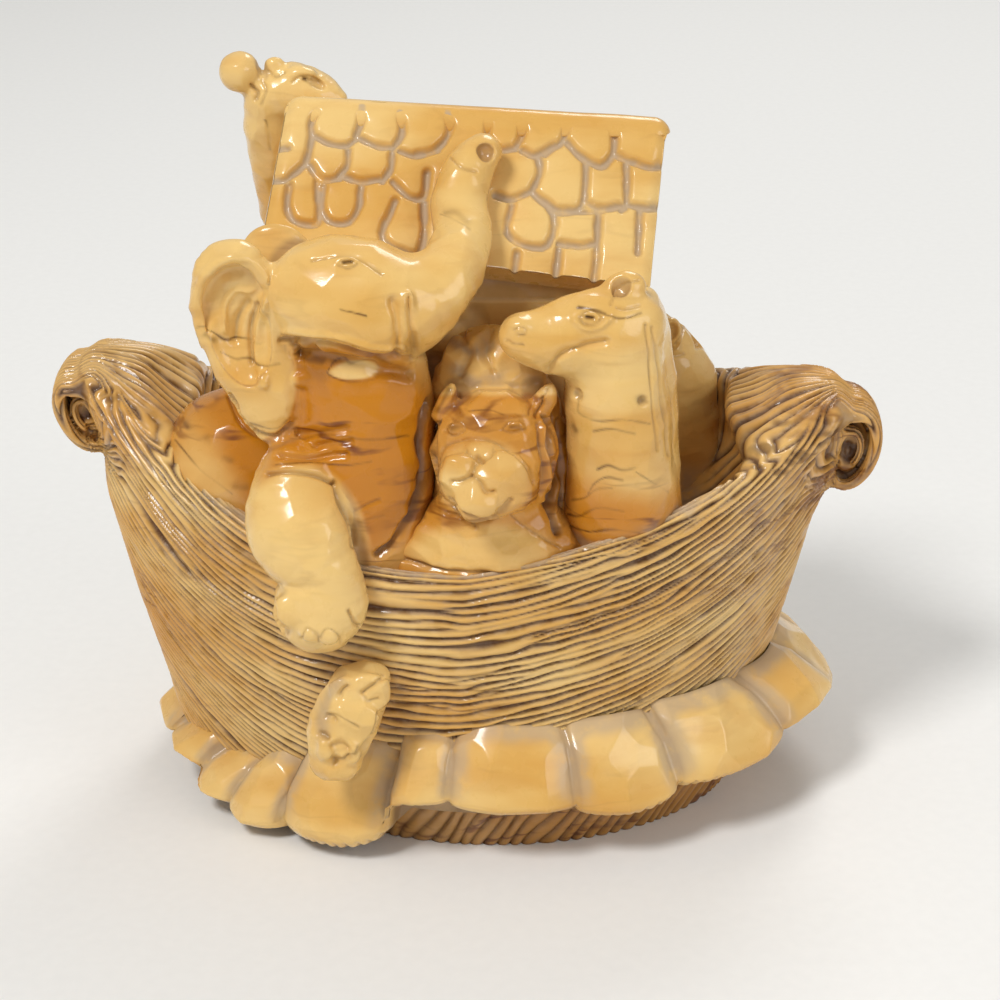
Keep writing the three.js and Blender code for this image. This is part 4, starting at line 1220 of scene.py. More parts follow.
def slope_relief(side, along, down, paths):
    """How far places of a slope stand above the roof, and how far down in a groove they are."""
    away = np.full(along.shape, FAR)
    for path in paths:
        low, high = path.min(axis=0) - GROOVE_MARGIN, path.max(axis=0) + GROOVE_MARGIN
        near = (along > low[0]) & (along < high[0]) & (down > low[1]) & (down < high[1])
        away[near] = np.minimum(away[near], path_distance(along[near], down[near], path))
    flat = np.stack([along, down, 0 * along], axis=-1)
    away = away + noise(flat, 1.6, 21 + side) * 0.14
    groove = 1 - smooth_step(0.12, SHINGLE_GROOVE_WIDTH * 0.62, away)
    pillow = np.exp(-np.maximum(away - 0.7, 0) / 1.6)
    end_room = np.minimum(along, ROOF_LENGTH - along)
    rounding = np.maximum(END_ROUND - end_room, 0) ** 2 / 5.0
    above = SHINGLE_RISE - groove * SHINGLE_GROOVE_DEPTH - pillow * 0.4 - rounding
    above = above + noise(flat, 6, 23 + side) * 0.16 + noise(flat, 2.5, 24 + side) * 0.06
    above = np.minimum(above, SHINGLE_RISE)
    band = 1 - smooth_step(2.0, 4.5, down)
    above = lerp(above, RIDGE_BAND_RISE - rounding, band)
    bend = np.maximum(RIDGE_BEND - down, 0)
    above = above - (RIDGE_ROUND - np.sqrt(RIDGE_ROUND**2 - bend**2))
    corner = np.maximum(PEAK_CORNER - end_room, 0) * np.maximum(PEAK_CORNER - down, 0)
    above = above - corner * 0.06
    return above, groove


def slope_skin(side, top, above):
    """A slope's top as points and faces, with its edges drawn down to the underside."""
    columns, rows = above.shape
    flat_top = top.reshape(-1, 3)
    border = border_loop(columns, rows)
    rim = flat_top[border]
    outward = rim - flat_top.mean(axis=0)
    outward = outward / np.linalg.norm(outward, axis=1, keepdims=True)
    fall = -ROOF_THICKNESS - above.ravel()[border]
    rings = [flat_top]
    faces = [flat_grid_faces(columns, rows)]
    previous = border
    count = len(flat_top)
    for share in np.linspace(0, 1, EDGE_ROWS + 1)[1:]:
        fallen = rim + slope_normal(side) * (fall * share)[:, None]
        rings.append(fallen + outward * (math.sin(share * math.pi) * EDGE_BULGE))
        current = np.arange(count, count + len(border))
        corners = [previous, current, np.roll(current, -1), np.roll(previous, -1)]
        faces.append(np.stack(corners, axis=1))
        previous = current
        count += len(border)
    return np.concatenate(rings), np.concatenate(faces)


def slope_courses(along, down, faces, count):
    """For each face of a slope: its course of shingles from 1, or 0 for the roof itself."""
    along = np.concatenate([along.ravel(), np.full(count - along.size, -1)])
    down = np.concatenate([down.ravel(), np.full(count - down.size, FAR)])
    lowest = down[faces].max(axis=1) / SLOPE_LENGTH
    within = along[faces].min(axis=1) > END_BORDER
    within = within & (along[faces].max(axis=1) < ROOF_LENGTH - END_BORDER)
    course = np.zeros(len(faces), int)
    for row, (top, foot, _) in enumerate(BACK_COURSES):
        course[within & (lowest > top - COURSE_LAP) & (lowest <= foot + COURSE_LAP)] = row + 1
    return course


def build_slope(side, paths):
    """Builds the front slope for side -1 and the back slope for side 1, with their shingles."""
    columns = int(ROOF_LENGTH / SLOPE_STEP)
    rows = int(SLOPE_LENGTH / SLOPE_STEP)
    spans = (np.linspace(0, ROOF_LENGTH, columns), np.linspace(0, SLOPE_LENGTH, rows))
    along, down = np.meshgrid(*spans, indexing="ij")
    above, groove = slope_relief(side, along, down, paths)
    top = slope_points(side, along / ROOF_LENGTH, down / SLOPE_LENGTH, above)
    points, faces = slope_skin(side, top, above)
    if side > 0:
        faces = faces[:, ::-1]
    normals = point_normals(points, faces)
    shade = np.zeros(len(points))
    shade[:groove.size] = smooth_step(0.25, 0.95, groove.ravel())
    masks = {"residue": shade * 0.4, "dust": shade * 0.85}
    course = slope_courses(along, down, faces, len(points))
    prefix, slope = ("front", "roof_front") if side < 0 else ("back", "roof_back")
    for row in range(len(BACK_COURSES) + 1):
        node = f"{prefix}_shingles_{row}" if row else slope
        chosen = faces[course == row]
        add_piece(f"{node}_top", [node], points, chosen, normals, masks, WOOD["sapwood"])


def flat_grid_faces(columns, rows):
    column, row = np.meshgrid(np.arange(columns - 1), np.arange(rows - 1), indexing="ij")
    first = column * rows + row
    faces = [first, first + 1, first + rows + 1, first + rows]
    return np.stack([corner.ravel() for corner in faces], axis=1)


def border_loop(columns, rows):
    index = np.arange(columns * rows).reshape(columns, rows)
    sides = [index[:-1, 0], index[-1, :-1], index[:0:-1, -1], index[0, :0:-1]]
    return np.concatenate(sides)


def build_ridge():
    """The soft peak where the two slopes meet."""
    start, end = ridge_point(-1), ridge_point(1)
    heading = (end - start) / np.linalg.norm(end - start)
    inset = heading * RIDGE_ROUND * 0.75
    sink = np.array([0, 0, RIDGE_SINK])
    stations = [
        (*(start + inset - sink), RIDGE_ROUND, RIDGE_ROUND),
        (*(end - inset - sink), RIDGE_ROUND, RIDGE_ROUND),
    ]
    clay = Clay(start - 6, end + 6, RIDGE_STEP)
    clay.add(Limb(stations, 3))
    points, faces = clay.mesh()
    normals = point_normals(points, faces)
    points, normals = push_out(points, faces, normals, noise(points, 7, 25) * 0.1)
    add_piece("roof_peak", ["roof_ridge"], points, faces, normals, {}, WOOD["sapwood"])


class Gable:
    """The cabin's block under the roof."""

    def box(self):
        half = np.array([CABIN_LENGTH / 2, CABIN_WIDTH / 2, 0])
        middle = np.array([HULL_SHIFT, CABIN_BACKSET, DECK_HEIGHT])
        return middle - half, middle + half + [0, 0, RIDGE_RISE]

    def field(self, x, y, z):
        ends = np.abs(x - HULL_SHIFT) - CABIN_LENGTH / 2
        walls = np.abs(y - CABIN_BACKSET) - CABIN_WIDTH / 2
        normal = slope_normal(1)
        peak = ridge_point(0) - normal * (ROOF_THICKNESS * 0.6) * [0, 0, 1]
        roof = np.abs(y - CABIN_BACKSET) * normal[1] + (z - peak[2] + ROOF_THICKNESS) * normal[2]
        body = smooth_max(ends, walls, 3)
        return np.maximum(np.maximum(body, roof), DECK_HEIGHT - 1 - z)


def build_cabin():
    gable = Gable()
    low, high = gable.box()
    clay = Clay(low - 3, high + 3, CABIN_STEP)
    clay.add(gable)
    points, faces = clay.mesh()
    normals = point_normals(points, faces)
    rough = noise(points, 5, 41) * 0.8 + noise(points, 2.2, 42) * 0.35
    rough = np.minimum(rough, 0.3) * (points[:, 2] < DECK_HEIGHT + EAVE_RISE - 8)
    moved, normals = push_out(points, faces, normals, rough)
    masks = {"residue": smooth_step(-0.5, 0.6, -rough) * 0.8}
    add_piece("cabin_block", ["cabin_walls"], moved, faces, normals, masks, WOOD["heartwood"])


# Figures

# Each kind of stroke: width, depth (negative stands proud), grey residue, dark brown
STROKE_KINDS = {
    "line": (0.5, 0.35, 0.1, 0.25),
    "groove": (0.85, 0.8, 0.2, 0.3),
    "fold": (1.5, 0.9, 0.1, 0.05),
    "hollow": (2.6, 1.5, 0.1, 0.0),
    "cleft": (1.4, 1.4, 0.5, 0.75),
    "ridge": (1.2, -0.7, 0.0, 0.0),
    "roll": (2.0, -0.9, 0.0, 0.0),
    "vein": (0.42, 0.05, 0.0, 0.8),
    "stain": (1.3, 0.0, 0.0, 0.7),
    # Tint and shade only darkens: painted shade under the elephant's cheek, and a darker tint at
    # its mouth
    "tint_and_shade": (4.5, 0.0, 0.0, 0.35),
    "pit": (0.8, 0.8, 0.1, 0.9),
    "dust": (2.4, 0.1, 0.8, 0.0),
}
# How far ahead of the skin a hollow is felt for; it sets the painted shade in a figure's creases
HOLLOW_REACH = 2.6
# A dab says add or cut, the pixel it shows at, its radii, how deep it sits, and its tilt
DAB_BLEND = 1.0
DAB_CUT_BLEND = 0.6
# Finding a surface along a sight line: where it starts before the middle, its tries, its caution
SIGHT_LEAD = 90
SIGHT_TRIES = 80
SIGHT_CAUTION = 0.7


def surface_at(forms, u, v):
    """Where the sight line through a pixel first meets the forms."""
    ray = sight_ray(u, v)
    ray = ray / np.linalg.norm(ray)
    place = CAMERA_PLACE + ray * (CAMERA_DISTANCE - SIGHT_LEAD)
    for _ in range(SIGHT_TRIES):
        places = [np.array([value]) for value in place]
        place = place + ray * SIGHT_CAUTION * min(form.field(*places)[0] for form in forms.values())
    return place, ray


def apply_dabs(clay, forms, dabs):
    """Adds or cuts small eggs where the forms show at pixels of the photograph."""
    for kind, pixel, radii, sink, tilt in dabs:
        place, ray = surface_at(forms, *pixel)
        dab = Egg(place + ray * sink, radii, tilt)
        if kind == "add":
            clay.add(dab, DAB_BLEND)
        else:
            clay.cut(dab, DAB_CUT_BLEND)


def build_figure(forms, blend, blends, dabs, hollows):
    """Blends a figure's forms into one skin, with each point's form and how shut in it is, for
    painted shade in its creases.
    """
    low = np.min([form.box()[0] for form in forms.values()], axis=0) - 4
    high = np.max([form.box()[1] for form in forms.values()], axis=0) + 4
    clay = Clay(low, high, FIGURE_STEP * 2)
    for name, form in forms.items():
        clay.add(form, blends.get(name, blend))
    for hollow, hollow_blend in hollows:
        clay.cut(hollow, hollow_blend)
    clay.halve_step()
    apply_dabs(clay, forms, dabs)
    points, faces = clay.mesh()
    normals = point_normals(points, faces)
    nearest = np.stack([form.field(*points.T) for form in forms.values()])
    ahead = (points + normals * HOLLOW_REACH).T
    room = np.min([form.field(*ahead) for form in forms.values()], axis=0)
    for hollow, _ in hollows:
        room = np.maximum(room, -hollow.field(*ahead))
    # Little room ahead of the skin marks a crease: residue there, and painted shade
    crease_shade_and_residue = smooth_step(0.85, 0.25, room / HOLLOW_REACH)
    return points, faces, normals, nearest.argmin(axis=0), crease_shade_and_residue


def draw_strokes(strokes, points, pixels, facing, label, names):
    """How deep the strokes cut at the points, and how grey and how brown they leave them."""
    depths, residue, dark = np.zeros((3, len(points)))
    uneven = 0.8 + 0.45 * noise(points, 2.2, 56)
    fading = np.clip(0.65 + 0.7 * noise(points, 4.5, 60), 0.15, 1.1)
    for nodes, kind, path in strokes:
        width, depth, grey, brown = STROKE_KINDS[kind]
        curve = curve_through(path, len(path) * 6)
        reach = width * 2 / PIXEL_MM
        low, high = curve.min(axis=0) - reach, curve.max(axis=0) + reach
        near = (pixels > low).all(axis=1) & (pixels < high).all(axis=1)
        near = near & facing & np.isin(label, [names.index(node) for node in nodes])
        away = path_distance(*pixels[near].T, curve) * PIXEL_MM
        profile = np.exp(-((away / (width * uneven[near]) * 1.6) ** 2))
        depths[near] += depth * profile
        residue[near] = np.maximum(residue[near], grey * profile)
        dark[near] = np.maximum(dark[near], brown * profile * fading[near])
    return depths, residue, dark


def carve_figure(forms, strokes, warm, blend, cut_depth, cut_width, blends=(), dabs=(), hollows=()):
    """Builds a figure with knife cuts all over, and draws its strokes on it.

    A stroke is the nodes that it may mark, its kind, and its path in pixels of the photograph.
    """
    points, faces, normals, label, hollow = build_figure(forms, blend, dict(blends), dabs, hollows)
    pixels = project(points)
    facing = (normals * (points - CAMERA_PLACE)).sum(axis=1) < 0
    scooped = np.minimum(scoops(points, cut_width, 55) - 0.4, 0.2)
    rough = noise(points, 7, 51) * 0.14 + noise(points, 2.4, 52) * 0.05 + scooped * cut_depth
    depths, residue, dark = draw_strokes(strokes, points, pixels, facing, label, list(forms))
    moved, normals = push_out(points, faces, normals, rough - depths)
    # Where the skin is shut in, residue, warmth and dark rise: residue in the creases, and painted
    # shade there too
    masks = {
        "residue": np.maximum(residue, hollow * 0.45),
        "dust": dust_near_deck(moved),
        "warm": np.clip(warm(points, pixels) + hollow * 0.35, 0, 1),
        "dark": np.maximum(dark, hollow * 0.22),
    }
    face_label = label[faces[:, 0]]
    for index, name in enumerate(forms):
        chosen = faces[face_label == index]
        add_piece(f"{name}_skin", [name], moved, chosen, normals, masks, WOOD[SLOTS[name]])


def dust_near_deck(points):
    """Grey residue in the corner between the figures and the deck, inside the rim."""
    x, y, z = points.T
    side, _ = ring_distance(x, y, z, HULL_LEVELS, HULL_FLOOR, 0)
    height = z - DECK_HEIGHT + noise(points, 3, 57) * 1.5
    above_deck = smooth_step(DECK_HEIGHT - 3, DECK_HEIGHT, z)
    return smooth_step(9.0, 3.0, height) * smooth_step(-1, -4, side) * above_deck * 0.8


def no_warmth(points, pixels):
    """For a figure of pale wood only."""
    return np.zeros(len(points))


def patch(pixels, middle, reach, soft=0.5):
    """1 inside an oval of the photograph, falling to 0 outside it."""
    away = np.hypot(*((pixels - middle) / reach).T)
    return smooth_step(1 + soft, 1 - soft, away)


def build_elephant():
    elephant = Figure(-0.29, -0.66, ELEPHANT_LENGTH)
    forms = {
        "elephant_head": elephant.egg((0.02, -0.04, 1.1), (0.3, 0.21, 0.22), tilt=14),
        "elephant_trunk": elephant.limb([
            (0.1, -0.06, 1.08, 0.17, 0.17),
            (0.24, -0.06, 1.1, 0.14, 0.14),
            (0.345, 0.02, 1.18, 0.115, 0.12),
            (0.384, 0.16, 1.25, 0.104, 0.1),
            (0.372, 0.27, 1.34, 0.098, 0.092),
            (0.404, 0.35, 1.43, 0.092, 0.084),
            (0.456, 0.39, 1.49, 0.064, 0.064),
        ]),
        "elephant_near_ear": elephant.limb([
            (-0.375, -0.07, 1.27, 0.1, 0.06),
            (-0.378, -0.07, 1.19, 0.14, 0.07),
            (-0.344, -0.07, 0.98, 0.152, 0.075),
            (-0.284, -0.08, 0.77, 0.12, 0.07),
            (-0.262, -0.08, 0.65, 0.07, 0.055),
        ]),
        "elephant_far_ear": elephant.egg((-0.24, 0.13, 1.16), (0.14, 0.05, 0.16), tilt=-20),
        "elephant_body": elephant.limb([
            (0.02, 0.02, -0.02, 0.22, 0.2),
            (0.025, 0.01, 0.24, 0.245, 0.22),
            (0.035, 0, 0.5, 0.255, 0.22),
            (0.045, 0, 0.74, 0.24, 0.2),
            (0.02, 0, 0.96, 0.22, 0.18),
        ]),
        "elephant_rump": elephant.egg((-0.4, 0.26, 0.3), (0.34, 0.28, 0.36)),
        "elephant_foreleg": elephant.limb([
            (-0.18, -0.14, 0.5, 0.14, 0.13),
            (-0.19, -0.22, 0.4, 0.17, 0.14),
            (-0.155, -0.28, 0.31, 0.17, 0.14),
            (-0.07, -0.31, 0.2, 0.115, 0.12),
            (-0.1, -0.32, 0.1, 0.165, 0.13),
            (-0.12, -0.31, 0.03, 0.14, 0.12),
        ]),
    }
    hollows = [(elephant.egg((-0.368, -0.145, 1.05), (0.11, 0.08, 0.22), tilt=-10), 0.8)]
    dabs = [
        # Eyelid, hole and fold of the trunk, pale wood under the cheek, heel and toes
        ("add", (348, 262), (2.2, 1.0, 1.3), 0.6, 0),
        ("cut", (486, 152), (1.6, 1.6, 1.6), 0.2, 0),
        ("add", (405, 318), (1.6, 1.2, 5.0), 0.2, 10),
        ("add", (311, 380), (3.0, 1.0, 1.5), 1.0, 0),
        ("add", (286, 612), (2.6, 2.0, 3.2), 1.0, 0),
        ("add", (309, 633), (1.8, 1.4, 1.8), 0.5, 0),
        ("add", (329, 634), (1.8, 1.4, 1.8), 0.5, 0),
    ]
    ear, head, trunk = "elephant_near_ear", "elephant_head", "elephant_trunk"
    leg, body, rump = "elephant_foreleg", "elephant_body", "elephant_rump"
    strokes = [
        # Near ear: its rolled edge, and the hollow and folds inside
        ([ear], "roll", [(199, 345), (195, 310), (206, 276), (230, 258), (255, 264), (275, 290)]),
        ([ear], "hollow", [(208, 330), (209, 300), (222, 278), (243, 274), (258, 292)]),
        ([ear], "ridge", [(224, 330), (225, 305), (236, 290), (250, 292)]),
        ([ear], "fold", [(236, 340), (238, 318), (246, 305)]),
        ([ear], "roll", [(268, 303), (260, 325), (258, 350), (264, 384)]),
        ([ear], "groove", [(256, 305), (250, 330), (252, 362)]),
        # Rings of the wood across the ear, and its lower edge
        ([ear], "vein", [(199, 327), (212, 331), (226, 340), (240, 338), (262, 343)]),
        ([ear], "vein", [(222, 352), (236, 359), (248, 358), (264, 366), (280, 364)]),
        ([ear], "stain", [(204, 335), (214, 340)]),
        ([ear, body, rump, leg], "groove", [
            (229, 396), (240, 420), (256, 434), (276, 437), (292, 424),
        ]),
        # Edge of the cheek, and the shade under it: a hollow, darkened with painted shade
        ([head], "ridge", [(284, 332), (330, 336), (372, 347), (404, 350)]),
        ([head, body], "hollow", [(292, 354), (330, 360), (372, 371), (408, 374)]),
        ([head, body], "tint_and_shade", [(288, 352), (330, 358), (372, 369), (412, 374)]),
        ([ear], "vein", [(250, 424), (275, 430), (290, 418)]),
        # Brow and eye
        ([head, trunk], "line", [(311, 259), (330, 256), (350, 254), (366, 262), (382, 274)]),
        ([head], "pit", [(343, 262), (352, 261)]),
        ([head], "line", [(338, 265), (348, 268), (358, 264)]),
        ([head], "vein", [(340, 310), (350, 312), (366, 316)]),
        # Folds at the root of the trunk, and the mouth
        ([head, trunk], "fold", [(393, 300), (397, 330), (397, 356)]),
        ([head, trunk], "fold", [(409, 298), (413, 330), (416, 352)]),
        ([head, trunk], "tint_and_shade", [(411, 345), (413, 358)]),
        ([head, ear], "groove", [(281, 341), (300, 342), (328, 344), (370, 357), (412, 360)]),
        # Dark rings round the pale wood under the cheek, with painted shade to either side
        ([body, head], "vein", [
            (326, 374), (331, 366), (342, 364), (350, 368), (372, 366), (382, 372),
        ]),
        ([body, head], "vein", [(326, 374), (336, 379), (352, 382), (372, 381), (380, 376)]),
        ([body, head], "stain", [(290, 352), (302, 360), (320, 364)]),
        ([body, head], "stain", [(378, 362), (392, 366), (412, 372)]),
        ([body, head], "tint_and_shade", [(296, 366), (320, 374)]),
        ([body, head], "tint_and_shade", [(388, 372), (412, 378)]),
        # Wrinkles over the foreleg
        ([body], "fold", [(281, 431), (310, 434), (345, 431)]),
        ([body], "fold", [(282, 443), (310, 446), (350, 443)]),
        ([body, leg], "fold", [(278, 455), (310, 457), (345, 455)]),
        ([body, leg], "vein", [(276, 465), (310, 462), (345, 466), (372, 462)]),
        ([body, leg], "vein", [(290, 438), (330, 436), (370, 440), (410, 436)]),
        # Where the foreleg leaves the body
        ([leg, body], "groove", [(267, 474), (290, 472), (318, 476), (334, 484)]),
        ([leg, body], "groove", [(334, 482), (340, 500), (350, 520), (354, 545)]),
        # Creases behind the foreleg, and the cleft beside the lion
        ([body], "line", [(356, 512), (366, 506), (380, 500)]),
        ([body], "vein", [(352, 528), (366, 520), (384, 516)]),
        ([body], "cleft", [(428, 402), (422, 440), (424, 475), (414, 508), (394, 542), (378, 556)]),
        # Toes and heel
        ([leg], "line", [(300, 640), (306, 629), (316, 634), (319, 642)]),
        ([leg], "line", [(319, 640), (327, 629), (338, 634), (341, 643)]),
        ([leg], "groove", [(350, 612), (356, 624), (363, 628)]),
        ([leg], "fold", [(270, 604), (274, 622), (284, 634)]),
        # Knots and a ring of the rump
        ([rump], "stain", [(208, 438), (211, 440)]),
        ([rump], "stain", [(224, 458), (230, 461)]),
        ([rump], "stain", [(186, 424), (188, 427)]),
        ([rump], "stain", [(234, 486), (245, 488)]),
        ([rump], "vein", [(175, 440), (200, 470), (232, 494)]),
        # Knot and crease of the trunk
        ([trunk], "stain", [(445, 213), (456, 213), (466, 222)]),
        ([trunk], "vein", [(440, 214), (452, 218), (470, 229)]),
        ([trunk], "line", [(450, 157), (462, 168), (476, 172)]),
    ]

    def warm(points, pixels):
        island = patch(pixels, (354, 373), (26, 7), 0.3) * 0.8
        below_cheek = smooth_step(-3, 6, pixels[:, 1] - 338 - (pixels[:, 0] - 281) * 0.15)
        ear_pale = patch(pixels, (262, 385), (33, 54), 0.15)
        heart = patch(pixels, (350, 450), (92, 125)) * below_cheek * (1 - ear_pale) - island
        leg_pale = patch(pixels, (305, 560), (62, 95), 0.15)
        ear_low = patch(pixels, (240, 380), (50, 40), 0.8) * 0.2
        back = smooth_step(-34, -26, points[:, 1]) * smooth_step(98, 90, points[:, 2])
        back = back * smooth_step(88, 80, points[:, 2]) * (0.68 + 0.25 * noise(points, 9, 59))
        return np.maximum(heart * (1 - leg_pale), ear_low) + back

    blends = {ear: 2.0, "elephant_rump": 1.2, leg: 1.6, body: 2.4, "elephant_far_ear": 2.0}
    carve_figure(
        forms, strokes, warm, blend=4.0, cut_depth=0.8, cut_width=7,
        blends=blends, dabs=dabs, hollows=hollows,
    )


def build_lion():
    lion = Figure(0.075, -0.66, LION_HEIGHT)
    forms = {
        "lion_muzzle": lion.egg((-0.025, -0.3, 0.66), (0.225, 0.17, 0.165)),
        "lion_head": lion.egg((0, -0.125, 0.7), (0.275, 0.225, 0.3)),
        "lion_stern_ear": lion.egg((-0.215, -0.1, 0.93), (0.045, 0.05, 0.1), tilt=28),
        "lion_bow_ear": lion.egg((0.205, -0.1, 0.935), (0.055, 0.05, 0.1), tilt=24),
        "lion_chest": lion.limb([
            (-0.0375, -0.05, -0.05, 0.475, 0.25),
            (-0.025, -0.075, 0.2, 0.45, 0.24),
            (-0.0125, -0.1, 0.4, 0.275, 0.2),
            (-0.0125, -0.1, 0.55, 0.2, 0.175),
        ]),
        "lion_mane": lion.limb([
            (0, 0.075, -0.05, 0.375, 0.225),
            (0, 0.075, 0.375, 0.36, 0.2),
            (-0.0125, 0.075, 0.75, 0.33, 0.2),
            (-0.0125, 0.1, 1.05, 0.225, 0.15),
        ]),
    }
    dabs = [
        # Cheeks, chin, nose and eyelids
        ("add", (458, 472), (3.4, 2.4, 3.6), 1.6, 0),
        ("add", (505, 474), (4.4, 2.6, 4.4), 1.8, 0),
        ("add", (477, 503), (3.8, 2.8, 3.4), 1.0, 0),
        ("add", (480, 450), (2.6, 1.6, 1.4), 0.6, 0),
        ("add", (456, 427), (1.7, 0.8, 1.1), 0.3, 0),
        ("add", (515, 426), (1.8, 0.8, 1.1), 0.3, 0),
    ]
    muzzle, head, chest, mane = "lion_muzzle", "lion_head", "lion_chest", "lion_mane"
    face = [muzzle, head]
    strokes = [
        # Edge of the muzzle
        (face, "line", [(438, 466), (443, 450), (456, 442), (476, 439), (494, 442), (517, 454)]),
        (face, "line", [(517, 454), (530, 470), (534, 484)]),
        # Mouth and nose
        (face, "groove", [(476, 462), (471, 475), (462, 481), (451, 483)]),
        (face, "groove", [(471, 475), (480, 482), (487, 491), (495, 492)]),
        (face, "line", [(465, 450), (472, 456), (479, 459)]),
        (face, "line", [(494, 450), (488, 456), (481, 459)]),
        (face, "groove", [(478, 457), (481, 460)]),
        # Eyes
        (face, "line", [(445, 431), (452, 421), (462, 422), (464, 430), (454, 436), (445, 431)]),
        (face, "line", [(502, 430), (510, 421), (523, 421), (527, 428), (514, 433), (502, 430)]),
        (face, "stain", [(511, 427), (519, 427)]),
        (face, "stain", [(452, 428), (458, 427)]),
        # Forehead and ears
        (face, "vein", [(470, 412), (488, 409), (504, 414)]),
        (["lion_stern_ear"], "stain", [(438, 410), (443, 400), (449, 390)]),
        (["lion_bow_ear", head], "line", [(529, 414), (534, 402), (544, 396), (547, 388)]),
        (["lion_bow_ear", head], "groove", [(538, 414), (542, 404), (541, 398)]),
        # Chin, throat and chest
        (face + [chest], "groove", [(448, 500), (462, 514), (480, 521), (497, 517), (512, 502)]),
        ([chest, mane], "groove", [(446, 513), (460, 516), (474, 527)]),
        ([chest], "line", [(505, 512), (530, 530), (560, 548)]),
        # Locks of the mane on both sides
        ([mane, head, chest], "cleft", [
            (437, 408), (428, 440), (430, 475), (420, 510), (398, 545),
        ]),
        ([mane, head], "groove", [(441, 414), (435, 440), (437, 470), (440, 500)]),
        ([mane, head, chest], "cleft", [
            (548, 415), (552, 445), (556, 475), (550, 505), (560, 532),
        ]),
        ([mane, head], "ridge", [(543, 420), (547, 450), (550, 475), (543, 500)]),
        ([mane, head], "groove", [(540, 424), (543, 450), (545, 472), (540, 494)]),
        ([mane], "groove", [(559, 420), (562, 450), (563, 480), (560, 510)]),
        # Lump behind the head
        ([mane], "dust", [(450, 340), (470, 350), (490, 345)]),
        ([mane], "dust", [(455, 370), (475, 382), (498, 376)]),
        ([mane], "fold", [(462, 330), (468, 352), (460, 375)]),
        ([mane], "fold", [(490, 330), (486, 352), (494, 372)]),
        # Where the chest meets the rim
        ([chest], "groove", [(392, 555), (436, 569), (503, 575), (543, 569), (567, 558)]),
    ]

    def warm(points, pixels):
        muzzle_pale = patch(pixels, (484, 480), (46, 40), 0.12) * 0.25
        chest_low = patch(pixels, (480, 550), (60, 22)) * 0.7
        recess = smooth_step(398, 388, pixels[:, 1]) * 0.8
        return 0.6 - muzzle_pale - chest_low - recess

    blends = {mane: 0.8, "lion_stern_ear": 1.0, "lion_bow_ear": 1.0, chest: 1.4}
    carve_figure(
        forms, strokes, warm, blend=1.4, cut_depth=1.1, cut_width=4.4,
        blends=blends, dabs=dabs,
    )


